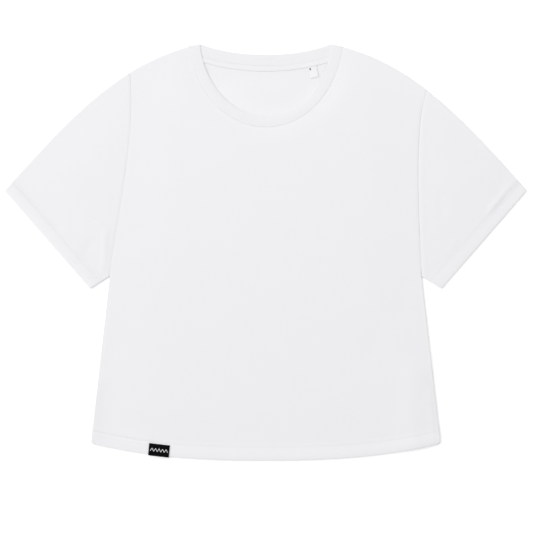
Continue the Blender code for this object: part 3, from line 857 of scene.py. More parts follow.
def front_doubled(x, y):
    """1 where a hem or the collar's seam allowance lies under the front's face."""
    at_neck = 1 - smooth((distance_to(FRONT_NECKLINE, x, y) - ALLOWANCE) / DOUBLED_FADE)
    return np.maximum(doubled_at_hem(y - hem_y(x)), at_neck)


middle_height = float(front_height(np.zeros(1), np.zeros(1))[0])
print("the middle of the front lies", round(1000 * middle_height, 2), "mm over the table")

# %% [markdown]
# ## Front
#
# The front is one sheet between four edges: the hem, the two sides with the armholes above them, and
# the shoulders with the neckline between. A patch that blends the four edges spreads the rows evenly,
# and the rows of the turned hem are added below it. Points lie closer near every edge, because that
# is where the cloth bends most.

# %% Edges of the body
SHOULDER_SHARE = 0.16  # share of the top edge that each shoulder takes
UNDERARM_SHARE = 0.46  # share of the side below the underarm
EDGE_STEPS = np.array([0, 0.2, 0.5, 0.9, 1.4, 2.1, 3.1, 4.5, 6.4, 8.8]) / 1000
INNER_HEM_INSET = 0.0012  # the turned-up cloth ends this far inside the side seams
TURN_DOWN = 0.0008  # radius of the turned edge at sides and shoulders
UNDERARM_BLEND = 0.010  # height over which the side seam's edge becomes the armhole's
SHOULDER_STEPS = 30
SEAM_POINTS = 16


def spread(count, span):
    """Shares from 0 to 1 of a span in metres, with close steps at both ends."""
    close = EDGE_STEPS / span
    middle = np.linspace(close[-1], 1 - close[-1], count)
    return np.concatenate([close[:-1], middle, (1 - close[:-1])[::-1]])


def rounded_edge(distance, height, level):
    """Brings a sheet down to where front and back meet, over the last stretch before its edge."""
    reach = np.clip(1 - distance / TURN_DOWN, 0, 1)
    return level + (height - level) * np.sqrt(1 - reach**2)


def shoulder_line(side, gap):
    line = top_edge(ARMHOLES[side]["top_x"] - gap, collar_corner(gap)[0], SHOULDER_STEPS)
    return signed(line, SIDES[side])


SHOULDER_LINES = {side: shoulder_line(side, BUTT_GAP) for side in SIDES}
print("shoulders:", [round(line_length(line), 3) for line in SHOULDER_LINES.values()], "m")


# %% Sides of the body and its rows
def body_sides():
    """The body's two sides from the top of the hem up to the shoulder, as functions of 0 to 1."""
    made = []
    for side, sign in SIDES.items():
        ys = np.linspace(HEM_END_Y + HEM_TOP, UNDERARM_Y, SEAM_POINTS)
        seam = np.stack([side_x(ys) - JERSEY / 2, ys], axis=1)
        hole = ARMHOLE_LINES[side][::-1].copy()
        above = smooth((hole[:, 1] - UNDERARM_Y) / UNDERARM_BLEND)
        hole[:, 0] -= JERSEY / 2 + (BUTT_GAP - JERSEY / 2) * above
        made.append(joined((along(signed(seam, sign)), UNDERARM_SHARE), (along(signed(hole, sign)), 1)))
    return made


def hem_row(u, rise, inset):
    """Points of one row over the hem, whose inner rows are a little shorter."""
    half = side_x(HEM_END_Y + rise) - JERSEY / 2 - (INNER_HEM_INSET if inset > HEM_TURN else 0)
    x = half * (2 * np.asarray(u) - 1)
    return np.stack([x, hem_y(x) + rise], axis=1)


def meet_at_edges(x, y, height, level):
    """Turns the sides and shoulders to the height where they meet the other panel."""
    from_side = np.where(y < UNDERARM_Y, side_x(np.minimum(y, UNDERARM_Y)) - np.abs(x), 1.0)
    from_shoulder = (top_edge_y(x) - y) * math.cos(SHOULDER_SLOPE)
    nearest = np.minimum(from_side, np.where(np.abs(x) > collar_corner(0)[0], from_shoulder, 1.0))
    return rounded_edge(nearest - JERSEY / 2, height, level)


first_width = 2 * float(hem_row(np.array([1.0]), HEM_RISES[0], 0.0)[0, 0])
print("the row next to the hem's fold is", round(first_width, 4), "m wide")

# %% Front
BODY_WIDTH = 0.55  # rough sizes, for the pace of the columns and rows
BODY_HEIGHT = 0.62
FRONT_COUNTS = (150, 165)  # columns and rows between the close ones at the edges
PAST_HEM = 0.002  # rows of the patch nearer to the hem's own rows than this share are left out


def body_mesh(name, neckline, counts, layer):
    """A panel inside its four edges: layer(x, y, inset) gives its height and how much whiter it is."""
    left, right = body_sides()
    top = joined(
        (along(SHOULDER_LINES["left"]), SHOULDER_SHARE),
        (along(neckline), 1 - SHOULDER_SHARE),
        (along(SHOULDER_LINES["right"][::-1]), 1),
    )

    def place(u, row):
        kind, value, inset = row
        if kind == "hem":
            points = hem_row(u, value, inset)
        else:
            points = coons(lambda t: hem_row(t, HEM_TOP, 0), top, left, right, u, value)
        x, y = points.T
        height, whiter = layer(x, y, inset)
        return np.stack([x, y, height, x, y, whiter], axis=1)

    columns = spread(counts[0], BODY_WIDTH)
    body_rows = [("body", v, 0.0) for v in spread(counts[1], BODY_HEIGHT)[1:] if v > PAST_HEM]
    return laid_grid(name, columns, hem_rows() + body_rows, place)


def front_layer(x, y, inset):
    face = meet_at_edges(x, y, front_height(x, y) - JERSEY / 2, EDGE_MEETS + JERSEY / 2)
    return face - inset, front_doubled(x, y)


front_mesh = body_mesh("front", FRONT_NECKLINE, FRONT_COUNTS, front_layer)
front = add_cloth("front", front_mesh, (jersey, jersey_inside), "front_panel", JERSEY)

# %% [markdown]
# ## Back
#
# The back lies on the table and shows only inside the neck, where the wrong side of the jersey is
# seen. It is made just as the front is, from the same sides and the same hem, but upside down: its
# hem is turned up on to its upper side. Inside the neck it swells very slightly, because nothing
# lies on it there, and along the back neck the seam allowance under the tape lifts it. Light is
# caught between it and the front collar, so it is made a little whiter there.

# %% Back neck
BACK_NECK_Y = 0.3162
BACK_NECK_RISE = NECK_Y - BACK_NECK_Y
BACK_NECK_POWER = 2.25
FAN_REACH = 0.0065  # the rib's direction turns over this distance beside each shoulder
BACK_NECK_POINTS = 80


def back_neck_y(x):
    return BACK_NECK_Y + BACK_NECK_RISE * np.abs(x / HALF_NECK) ** BACK_NECK_POWER


def back_across(x):
    """Direction from the back neck's folded edge into the shirt, square to the edge."""
    power = BACK_NECK_POWER
    slope = BACK_NECK_RISE * power / HALF_NECK * np.abs(x / HALF_NECK) ** (power - 1)
    across = np.stack([np.sign(x) * slope, -np.ones_like(x)], axis=1)
    return across / np.linalg.norm(across, axis=1)[:, None]


def back_neckline(gap):
    reach = HALF_NECK - FAN_REACH
    x = np.linspace(-reach, reach, BACK_NECK_POINTS)
    line = np.stack([x, back_neck_y(x)], axis=1) + back_across(x) * (RIB_WIDTH + gap)
    corner = collar_corner(gap)
    return np.vstack([[corner * (-1, 1)], line, [corner]])


BACK_NECKLINE = back_neckline(BUTT_GAP)
print("back neckline:", round(line_length(BACK_NECKLINE), 3), "m")

# %% Back
BACK_DOME = {"height": 0.0015, "reach": 0.036, "ends_y": 0.286, "fade": 0.040}
NECK_GLOW = {"most": 2.0, "reach": 0.022, "ends_y": 0.29, "fade": 0.04}
BACK_SEAM_LIFT = {"depth": 0.0002, "half_width": 0.010}  # the neck's seam allowance under the tape
BACK_COUNTS = (110, 120)


def back_height(x, y):
    """Height of the upper face of the back."""
    below_tape = smooth((BACK_DOME["ends_y"] - y) / BACK_DOME["fade"])
    dome = BACK_DOME["height"] * smooth(inside_neck(x, y) / BACK_DOME["reach"]) * below_tape
    return JERSEY + dome + groove(distance_to(BACK_NECKLINE, x, y), **BACK_SEAM_LIFT)


def neck_glow(x, y):
    """How much whiter the back is just inside the front collar, where light is caught between them."""
    inside = np.maximum(inside_neck(x, y), 0)
    below_tape = smooth((NECK_GLOW["ends_y"] - y) / NECK_GLOW["fade"])
    return groove(inside, NECK_GLOW["most"], NECK_GLOW["reach"]) * below_tape


def back_layer(x, y, inset):
    face = meet_at_edges(x, y, back_height(x, y) - JERSEY / 2, EDGE_MEETS - JERSEY / 2)
    return face + inset, np.maximum(doubled_at_hem(y - hem_y(x)), neck_glow(x, y))


back_mesh = body_mesh("back", BACK_NECKLINE, BACK_COUNTS, back_layer)
back = add_cloth("back", back_mesh, (jersey_inside, jersey), "back_panel", JERSEY)

# %% [markdown]
# ## Sleeves
#
# A sleeve is one cut, sewn into a tube and pressed flat. Each row of the grid is one ring round the
# arm: over the top layer, round the underarm fold, back along the lower layer and round the upper
# fold. The last column meets the first at the upper fold, and the two are merged. The seam of each
# cuff also gathers a soft shade. It goes into the cloth's own tone, because the relief there is too
# low to cast it.

# %% Sizes of the cuffs
SLEEVE_LOFT = 0.0009
ALLOWANCE_RIDGE = {"depth": 0.0002, "half_width": 0.0042}  # over the seam allowance at the armhole
RIDGE_BACK = 0.001  # its crest lies this far from the allowance's edge
CUFF_STRENGTH = {
    # strength of the cuff's grooves at the underarm and at the upper fold
    "left": (0.75, 0.75),
    "right": (0.10, 0.32),
}
CUFF_STEPS = {
    # how far the doubled cloth stands over the rest, at the underarm and at the upper fold
    "left": (0.00020, 0.00045),
    "right": (0.0, -0.00040),
}
CUFF_STEP_SPAN = (0.015, 0.023)  # distances from the edge between which it falls away
CUFF_SWELL = {"left": 1.5, "right": 0.45}  # how high the cuff's band rises, against the hem's
CUFF_WHITER = {"left": 1.0, "right": 0.5}  # the right sleeve's doubled cloth shows less
CUFF_SHADES = {
    # the seam's soft shade: distance from the edge, half width, and depth of tone at both ends
    "left": (0.0200, 0.0035, (1.4, 2.4)),
    "right": (0.0175, 0.0052, (0.0, 3.0)),
}
CUFF_RUN = (CUFF_TOP - CUFF_BOTTOM) / np.linalg.norm(CUFF_TOP - CUFF_BOTTOM)
INTO_SLEEVE = np.array([-CUFF_RUN[1], CUFF_RUN[0]])


print("a cuff is", round(2 * line_length(np.array([CUFF_TOP, CUFF_BOTTOM])), 3), "m all round")

# %% Heights of the sleeves
def up_cuff(y):
    """0 at the underarm and 1 at the upper fold, growing faster towards the fold."""
    return np.clip((y - CUFF_BOTTOM[1]) / (CUFF_TOP[1] - CUFF_BOTTOM[1]), 0, 1) ** 2


def sleeve_height(side, x, y):
    """Height of a sleeve's face, with x counted outwards."""
    sign = SIDES[side]
    rise = (x - CUFF_BOTTOM[0]) * INTO_SLEEVE[0] + (y - CUFF_BOTTOM[1]) * INTO_SLEEVE[1]
    to_hole = distance_to(ARMHOLE_LINES[side], x, y)
    edges = (top_edge_y(x) - y, to_hole + LOFT_REACH / 3, rise)
    loft = SLEEVE_LOFT * np.prod([smooth(distance / LOFT_REACH) for distance in edges], axis=0)
    height = BODY_TOP + np.maximum(loft + crease_height(SLEEVE_CREASES[side], sign * x, y), DEEPEST)
    strength = np.interp(up_cuff(y), (0, 1), CUFF_STRENGTH[side])
    height += hem_lift(rise, strength, CUFF_SWELL[side])
    step_start, step_end = CUFF_STEP_SPAN
    step = np.interp(up_cuff(y), (0, 1), CUFF_STEPS[side])
    height += step * (1 - smooth((rise - step_start) / (step_end - step_start)))
    below_top = top_edge_y(x) - y
    ridge = groove(to_hole - ALLOWANCE + RIDGE_BACK, **ALLOWANCE_RIDGE)
    height += ridge * seam_mark(side, below_top)
    return height - armhole_dip(side, "sleeve", to_hole, below_top)


def sleeve_doubling_and_painted_shade(side, x, y, rise):
    """How much whiter a sleeve is over doubled cloth, less the painted shade in its cuff's seam."""
    at_hole = 1 - smooth((distance_to(ARMHOLE_LINES[side], x, y) - ALLOWANCE) / DOUBLED_FADE)
    row, half_width, depths = CUFF_SHADES[side]
    shade = groove(rise - row, np.interp(up_cuff(y), (0, 1), depths), half_width)
    return CUFF_WHITER[side] * np.maximum(doubled_at_hem(rise), at_hole) - shade


middle_height = float(sleeve_height("left", np.array([0.33]), np.array([0.05]))[0])
print("the middle of the left sleeve lies", round(1000 * middle_height, 2), "mm over the table")

# %% Sleeve rings
NEARBY = 0.01  # share of an edge over which its direction is read
SECTION_POINTS = 33
UPPER_STEPS = 80


def sleeve_sections(side):
    """A function of a row: its line across the sleeve, its length, how squarely the folds cut it."""
    hole = ARMHOLE_LINES[side] + (BUTT_GAP, 0)
    upper_points = top_edge(CUFF_TOP[0], hole[0][0], UPPER_STEPS)
    upper, upper_length = along(upper_points), line_length(upper_points)
    lower_points = np.array([CUFF_BOTTOM, hole[-1]])
    lower, lower_length = along(lower_points), line_length(lower_points)
    shares = np.linspace(0, 1, SECTION_POINTS)
    starts = HEM_TOP / upper_length, HEM_TOP / lower_length

    def section_line(kind, value):
        if kind == "hem":
            ends = upper(value / upper_length), lower(value / lower_length)
            return (1 - shares)[:, None] * ends[0] + shares[:, None] * ends[1]
        edges = [
            lambda v: upper(starts[0] + (1 - starts[0]) * v),
            lambda v: lower(starts[1] + (1 - starts[1]) * v),
        ]
        return coons(along(section_line("hem", HEM_TOP)), along(hole), *edges, shares, value)

    def section(kind, value):
        line = section_line(kind, value)
        squareness = []
        for edge, length, start, ends in (
            (upper, upper_length, starts[0], line[:2]),
            (lower, lower_length, starts[1], line[:-3:-1]),
        ):
            at = value / length if kind == "hem" else start + (1 - start) * value
            run = edge(min(at + NEARBY, 1)) - edge(max(at - NEARBY, 0))
            inward = ends[1] - ends[0]
            cross = abs(inward[0] * run[1] - inward[1] * run[0])
            squareness.append(cross / np.linalg.norm(inward) / np.linalg.norm(run))
        return along(line), line_length(line), squareness

    return section


for side in SIDES:
    print(side, "sleeve's hem, laid flat:", round(sleeve_sections(side)("hem", 0.0)[1], 3), "m")

# %% Places on a ring
OVER, UNDERARM_FOLD, UNDER, TOP_FOLD = range(4)  # the four stretches of a ring
HALF_FLAT = BODY_TOP / 2


def ring_places(around, inset, length, squareness):
    """Distances along a ring's line, and levels from 1 in the top layer to -1 in the lower one."""
    upper_square, lower_square = squareness
    first, last = HALF_FLAT / upper_square, HALF_FLAT / lower_square
    radius = HALF_FLAT - JERSEY / 2 - inset
    part, at = np.divmod(around, 1)
    bulge = radius * np.sin(math.pi * at)
    flat = length - first - last
    stretches = [part == OVER, part == UNDERARM_FOLD, part == UNDER, part == TOP_FOLD]
    distance = np.select(
        stretches,
        [
            first + flat * at,
            length - last + bulge / lower_square,
            length - last - flat * at,
            first - bulge / upper_square,
        ],
    )
    level = np.select(stretches, [1.0, np.cos(math.pi * at), -1.0, -np.cos(math.pi * at)])
    return distance, level


print("a pressed sleeve is", 1000 * BODY_TOP, "mm high at its folds")

# %% Sleeves
RING_STEPS = {"over": 70, "fold": 9, "under": 46}
SLEEVE_ROWS = 64
SLEEVE_ACROSS = 0.21  # rough sizes, for the pace of the columns and rows
SLEEVE_REACH = 0.17
PAST_CUFF = 0.006  # rows of the patch nearer to the cuff's own rows than this share are left out


def sleeve_mesh(side):
    sign, section = SIDES[side], sleeve_sections(side)

    def place(around, row):
        kind, value, inset = row
        line, length, squareness = section(kind, value)
        distance, level = ring_places(around, inset, length, squareness)
        x, y = line(distance / length).T
        top = sleeve_height(side, x, y) - JERSEY / 2 - inset
        bottom = JERSEY / 2 + inset
        z = (top + bottom) / 2 + (top - bottom) / 2 * level
        grain_x = x * CUFF_RUN[0] + y * CUFF_RUN[1]
        grain_y = x * INTO_SLEEVE[0] + y * INTO_SLEEVE[1]
        rise = grain_y - CUFF_BOTTOM @ INTO_SLEEVE
        # whiter over doubled cloth, less the painted shade of the cuff's seam
        doubled_and_painted_light = sleeve_doubling_and_painted_shade(side, x, y, rise)
        return np.stack([sign * x, y, z, grain_x, grain_y, doubled_and_painted_light], axis=1)

    over = spread(RING_STEPS["over"], SLEEVE_ACROSS)[:-1]
    fold = np.linspace(0, 1, RING_STEPS["fold"])[:-1]
    under = np.linspace(0, 1, RING_STEPS["under"])[:-1]
    around = [*(OVER + over), *(UNDERARM_FOLD + fold), *(UNDER + under), *(TOP_FOLD + fold), OVER]
    spread_rows = spread(SLEEVE_ROWS, SLEEVE_REACH)[1:]
    rows = hem_rows() + [("body", v, 0.0) for v in spread_rows if v > PAST_CUFF]
    return laid_grid("sleeve_" + side, around, rows, place, closed=True)


for side in SIDES:
    node = "sleeve_" + side
    mesh = sleeve_mesh(side)
    add_cloth("t_shirt_" + node, mesh, (jersey, jersey_inside), node, JERSEY)

# %% [markdown]
# ## Collar
#
# The collar is a strip of rib, folded lengthwise and sewn on by both cut edges. Its ribs run across
# it, about 1.5 mm apart, and they are real waves in the mesh. The strip's cut is laid along a route
# round the neck: over the front, round each shoulder and along the back. The route's stations come
# from the neck oval, a half turn at each shoulder and the back neck's curve, spaced evenly, four to
# a rib.

# %% Route of the collar
RIB_PITCH = 0.0015
RIB_RELIEF = 0.00008
RIB_COLUMNS = 4  # stations to a rib
FRONT_STATIONS = 161
BACK_STATIONS = 81
FAN_STEPS = 6


def turn_stations(steps=14):
    """The rib where it turns over the right shoulder, from the front to the back."""
    across = slope_step(SHOULDER_SLOPE, 1.0)
    outward = np.array([math.sin(SHOULDER_SLOPE), math.cos(SHOULDER_SLOPE)])
    axis = NECK_POINT - outward * (SHOULDER_TURN + RIB / 2)
    stations = []
    for turn in np.linspace(0, math.pi, steps + 1):
        inner = axis + outward * SHOULDER_TURN * math.sin(turn)
        height = RIB / 2 + SHOULDER_TURN * (1 + math.cos(turn))
        stations.append([*inner, *across, height, turn])
    return np.array(stations)


def mirrored(stations):
    return np.asarray(stations)[::-1] * (-1, 1, -1, 1, 1, 1)


def back_stations():
    """The rib along the back neck, from the right shoulder to the left one."""
    turned = turn_stations()[-1]
    reach = turned[0] - FAN_REACH
    fan = []
    for share in np.arange(1, FAN_STEPS) / FAN_STEPS:
        x = turned[0] + (reach - turned[0]) * share
        y = (1 - share) * turned[1] + share * back_neck_y(x)
        across = (1 - share) * turned[2:4] + share * back_across(np.array([x]))[0]
        fan.append([x, y, *(across / np.linalg.norm(across)), *turned[4:]])
    x = np.linspace(reach, -reach, BACK_STATIONS)
    lying = np.tile(turned[4:], (BACK_STATIONS, 1))
    even = np.hstack([np.stack([x, back_neck_y(x)], axis=1), back_across(x), lying])
    return np.vstack([fan, even, mirrored(fan)])


print("stations along the back neck:", len(back_stations()))

# %% Even stations round the neck
def collar_stations():
    """Even stations round the neck: folded edge x and y, across x and y, height, turn."""
    angles = np.linspace(math.pi - FIRST_ANGLE, FIRST_ANGLE, FRONT_STATIONS)
    inner, across, height = front_collar(angles)
    front_part = np.column_stack([inner, across, height, np.zeros(FRONT_STATIONS)])
    turned = turn_stations()
    route = np.vstack([front_part[:-1], turned, back_stations(), mirrored(turned)])
    route = np.vstack([route, route[:1]])
    middle = np.column_stack([route[:, :2] + route[:, 2:4] * RIB_WIDTH / 2, route[:, 4]])
    steps = np.linalg.norm(np.diff(middle, axis=0), axis=1)
    reach = np.concatenate([[0], np.cumsum(steps)])
    ribs = round(reach[-1] / RIB_PITCH)
    even = np.linspace(0, reach[-1], RIB_COLUMNS * ribs + 1)
    return np.stack([np.interp(even, reach, column) for column in route.T], axis=1), even


STATIONS, STATION_REACH = collar_stations()
print("collar length:", round(STATION_REACH[-1], 3), "m, ribs:", (len(STATIONS) - 1) // RIB_COLUMNS)

# %% Collar
COLLAR_DOME = 0.00012
COLLAR_TUCK = {"depth": 0.00005, "half_width": 0.0011}  # its dip into its seam
CLEAR_OF_BACK = 0.00082  # the lowest that the rib's underside comes to the table
LIES_ON_RIB = math.radians(30)  # up to this angle the front collar lies on the back one
LIFTS_OFF = math.radians(12)  # and over this one its folded edge becomes free to droop
RIB_FOLD_STEPS = 7
ON_A_FACE = 0.99  # levels past this are the strip's two faces, and the rest is its fold


def collar_profile():
    """Points of the folded strip: distance from the folded edge, level, and place on the flat strip."""
    edge = RIB / 2
    upper = np.array([18.0, 17.7, 17.3, 16.6, 15.5, 13.5, 11.0, 8.0, 5.0, 2.8, 1.6]) / 1000
    profile = [(d, 1.0, d) for d in upper]
    for turn in np.linspace(0, math.pi, RIB_FOLD_STEPS):
        profile.append((edge - LAYER_OFFSET * math.sin(turn), math.cos(turn), edge * math.cos(turn)))
    return profile + [(d, -1.0, -d) for d in upper[::-1]]


def collar_mesh():
    profile = np.array(collar_profile())
    distance, level, flat = profile.T
    tuck = groove(RIB_WIDTH - distance, **COLLAR_TUCK)
    dome = COLLAR_DOME * np.sin(math.pi * np.clip(distance / RIB_WIDTH, 0, 1))

    def place(columns, row):
        inner_x, inner_y, across_x, across_y, height, turn = STATIONS[row]
        clear = smooth((neck_angle(inner_x, inner_y) - LIES_ON_RIB) / LIFTS_OFF) * (turn == 0)
        droop = clear * max(height - RIB_FACE - CLEAR_OF_BACK, 0) * (1 - distance / RIB_WIDTH) ** 2
        wave = RIB_RELIEF * math.cos(math.tau * row / RIB_COLUMNS)
        lift = level * (LAYER_OFFSET + dome + wave - tuck)
        reach = distance - np.where(np.abs(level) < ON_A_FACE, wave, 0)
        side = math.copysign(1, inner_x)
        out_x, out_y = side * math.sin(SHOULDER_SLOPE), math.cos(SHOULDER_SLOPE)
        x = inner_x + across_x * reach + out_x * lift * math.sin(turn)
        y = inner_y + across_y * reach + out_y * lift * math.sin(turn)
        z = height + lift * math.cos(turn) - droop
        return np.column_stack([x, y, z, np.full(len(x), STATION_REACH[row]), flat, 0 * x])

    rows = [*range(len(STATIONS) - 1), 0]
    return laid_grid("collar", range(len(profile)), rows, place, closed=True)


collar = add_cloth("rib_collar", collar_mesh(), (rib_knit, rib_knit), "collar", RIB_CLOTH)

# %% [markdown]
# ## Neck tape
#
# Inside the back neck a narrow tape covers the seam. It is a strip of the same jersey with its edges
# folded under, so it bulges a little and casts a fine line of shade along its lower edge.

# %% Section of the tape
TAPE_LOWER_Y = 0.2893
TAPE_LOWER_RISE = 0.012
TAPE_HALF = 0.092
TAPE_POWER = 2.1
TAPE_END_X = 0.1030
TAPE_CLOTH = 0.00026
TAPE_COLUMNS = 81


def tape_lower_y(x):
    return TAPE_LOWER_Y + TAPE_LOWER_RISE * np.abs(x / TAPE_HALF) ** TAPE_POWER


TAPE_PROFILE = (
    # share of the width from the lower edge, height of the sheet's middle
    (0.30, 0.00094),
    (0.12, 0.00091),
    (0.035, 0.00090),
    (0.0, 0.00101),
    (0.025, 0.00112),
    (0.10, 0.00119),
    (0.17, 0.00118),
    (0.23, 0.00122),
    (0.40, 0.00120),
    (0.62, 0.00117),
    (0.77, 0.00114),
    (0.84, 0.00110),
    (0.92, 0.00112),
    (1.0, 0.00108),
)
print("the tape's section has", len(TAPE_PROFILE), "rows")

# %% Neck tape
TAB_X = 0.0745
TAB_WIDTH = 0.014
OVER_TAB = {"lift": 0.0004, "fade": 0.004}  # the tape rises over the size tab's caught end


def tape_lift(x, share):
    """How far the tape is pushed up by the size tab under it, most at its lower edge."""
    from_tab = np.abs(x - TAB_X) - TAB_WIDTH / 2
    return OVER_TAB["lift"] * smooth(1 - from_tab / OVER_TAB["fade"]) * (1 - share)


def tape_mesh():
    upper_line = back_neckline(BUTT_GAP)

    def place(x, row):
        share, height = row
        top = np.interp(x, upper_line[:, 0], upper_line[:, 1])
        low = tape_lower_y(x)
        y = low + (top - low) * share
        return np.column_stack([x, y, height + tape_lift(x, share), y, x, 0 * x])

    columns = np.linspace(-TAPE_END_X, TAPE_END_X, TAPE_COLUMNS)
    return laid_grid("neck_tape", columns, TAPE_PROFILE, place)


tape = add_cloth("tape", tape_mesh(), (tape_jersey, tape_jersey), "neck_tape", TAPE_CLOTH)

# %% [markdown]
# ## Size tab
#
# The tab is a narrow strip of white satin, folded in half with its ends caught under the tape. Its
# fold hangs free and lifts a little. The only mark on it is one short dark dash.

# %% Satin with a dash
TAB_LENGTH = 0.018
TAB_COLOUR = (0.785, 0.785, 0.797)
TAB_THREAD = {"Thread": 0.00028}
DASH = {"x": -0.0042, "y": 0.0040, "half_width": 0.0011, "half_length": 0.0016}
DASH_COLOUR = (0.05, 0.05, 0.055, 1.0)


def inside_mask(tree, value, middle, half):
    """1 where a value lies within half of the middle."""
    off = calc(tree, "ABSOLUTE", calc(tree, "SUBTRACT", value, middle))
    return calc(tree, "LESS_THAN", off, half)


def cloth_place(tree):
    """The cloth's own coordinates, in metres."""
    cloth = add_node(tree, "ShaderNodeUVMap", uv_map="cloth").outputs["UV"]
    return add_node(tree, "ShaderNodeSeparateXYZ", {0: cloth}).outputs


def woven_in(material, first_mask, second_mask, colour):
    """A second colour where both masks are 1."""
    tree = material.node_tree
    shader = tree.nodes["Principled BSDF"]
    ground = shader.inputs["Base Color"].links[0].from_socket
    values = {0: calc(tree, "MULTIPLY", first_mask, second_mask), 6: ground, 7: colour}
    mixed = add_node(tree, "ShaderNodeMix", values, data_type="RGBA")
    tree.links.new(mixed.outputs[2], shader.inputs["Base Color"])


def add_dash(material):
    tree = material.node_tree
    place = cloth_place(tree)
    in_width = inside_mask(tree, place["X"], DASH["x"], DASH["half_width"])
    in_length = inside_mask(tree, place["Y"], DASH["y"], DASH["half_length"])
    woven_in(material, in_width, in_length, DASH_COLOUR)


tab_satin = new_cloth(
    "tab_satin", TAB_COLOUR, WEAVE, TAB_THREAD, roughness=0.5, relief=0.00003, patches=0.004
)
add_dash(tab_satin)
print("dash on the tab:", 2000 * DASH["half_width"], "by", 2000 * DASH["half_length"], "mm")

# %% Size tab
tab_slope = TAPE_LOWER_RISE * TAPE_POWER / TAPE_HALF * (TAB_X / TAPE_HALF) ** (TAPE_POWER - 1)
TAB_LEAN = math.atan(tab_slope)
TAB_TUCK = 0.0030  # of it lies under the tape
TAB_THICKNESS = 0.00016
TAB_CLEAR = 0.00003  # between the tab and the back
TAB_CURL = {"height": 0.0003, "from": 0.010, "over": 0.010}  # its free end lifts
TAB_BOW = 0.0001  # and its middle bulges
TAB_FREE = 0.003  # distance over which it comes free of the tape
TAB_LOOP = 0.00010  # radius of its fold
TAB_FOLD_STEPS = 7
TAB_ROWS = 22
TAB_COLUMNS = 15


def tab_mesh():
    down = np.array([math.sin(TAB_LEAN), -math.cos(TAB_LEAN)])
    side = np.array([math.cos(TAB_LEAN), math.sin(TAB_LEAN)])
    start = np.array([TAB_X, tape_lower_y(TAB_X)]) - down * TAB_TUCK
    length = TAB_LENGTH + TAB_TUCK

    def place(u, row):
        reach, level = row
        across = (u - 0.5) * TAB_WIDTH
        points = start + across[:, None] * side + reach * down
        lift = TAB_CURL["height"] * smooth((reach - TAB_CURL["from"]) / TAB_CURL["over"])
        lift = lift + TAB_BOW * np.cos(across / TAB_WIDTH * math.pi)
        lying = back_height(*points.T) + TAB_THICKNESS / 2 + TAB_CLEAR
        z = lying + lift * smooth((reach - TAB_TUCK) / TAB_FREE) + level
        return np.column_stack([points, z, across, np.full(len(u), length / 2 - reach), 0 * u])

    fold_start = length - 2 * TAB_LOOP
    upper = [(reach, 2 * TAB_LOOP) for reach in np.linspace(0, fold_start, TAB_ROWS)]
    fold = [
        (fold_start + TAB_LOOP * math.sin(turn), TAB_LOOP * (1 + math.cos(turn)))
        for turn in np.linspace(0, math.pi, TAB_FOLD_STEPS)[1:-1]
    ]
    lower = [(reach, 0.0) for reach, _ in reversed(upper)]
    return laid_grid("size_tab", np.linspace(0, 1, TAB_COLUMNS), (upper + fold + lower)[::-1], place)


tab = add_cloth("tab", tab_mesh(), (tab_satin, tab_satin), "size_tab", TAB_THICKNESS)

# %% [markdown]
# ## Hem label
#
# A small black woven label is sewn on at the hem. Its top edge is folded under, and its lower end
# bends down over the edge of the shirt. Its face carries only a plain zigzag in light thread, which
# is worked out in the material from the label's own coordinates.

# %% Black weave with a zigzag
HEM_LABEL = {"x": -0.1712, "width": 0.033, "height": 0.018, "lean": 0.09}
LABEL_BLACK = (0.003, 0.003, 0.0035)
LABEL_THREAD = {"Thread": 0.00035}
LABEL_DULL = 0.04  # black thread gives back hardly any light
ZIGZAG = {"middle": 0.0086, "swing": 0.0023, "pitch": 0.0056}
ZIGZAG |= {"half_thread": 0.00065, "half_run": 0.0140}
ZIGZAG_COLOUR = (0.78, 0.78, 0.79, 1.0)
LABEL_TONE = {"roughness": 0.8, "relief": 0.00006, "patches": 0.05, "sheen": 0.0}
label_weave = new_cloth("label_weave", LABEL_BLACK, WEAVE, LABEL_THREAD, **LABEL_TONE)
label_shader = label_weave.node_tree.nodes["Principled BSDF"]
label_shader.inputs["Specular IOR Level"].default_value = LABEL_DULL


def add_zigzag(material):
    tree = material.node_tree
    place = cloth_place(tree)
    ridge = fraction_ridge(tree, calc(tree, "DIVIDE", place["X"], ZIGZAG["pitch"]))
    swing = calc(tree, "MULTIPLY", calc(tree, "SUBTRACT", ridge, 0.5), 2 * ZIGZAG["swing"])
    off_line = calc(tree, "SUBTRACT", place["Y"], swing)
    on_line = inside_mask(tree, off_line, ZIGZAG["middle"], ZIGZAG["half_thread"])
    in_run = inside_mask(tree, place["X"], 0.0, ZIGZAG["half_run"])
    woven_in(material, on_line, in_run, ZIGZAG_COLOUR)


add_zigzag(label_weave)
print("zigzag:", 2000 * ZIGZAG["half_run"], "mm long")

# %% Hem label
LABEL_CLOTH = 0.0004
LABEL_LIFT = 0.00035  # of the label's middle above the hem's face
LABEL_FOLD = 0.00045  # the face lies this far over the part that is turned under
LABEL_REST = 0.003  # its lowest end lies as high as the hem does here, above the turned edge
LABEL_LIP = (
    # distance from the hem's edge and drop, where the label bends down over the edge
    (-0.0012, 0.0021),
    (-0.0013, 0.0016),
    (-0.0012, 0.0010),
    (-0.0009, 0.0005),
    (-0.0004, 0.0001),
)
LABEL_START = 0.0003  # the face's first row over the edge
LABEL_BEND = 0.0002  # room for the bend at its top edge
LABEL_TUCKED = np.array([0.0010, 0.0030, 0.0050])  # rows that are turned under, from the top edge
LABEL_ROWS = 16
LABEL_COLUMNS = 25


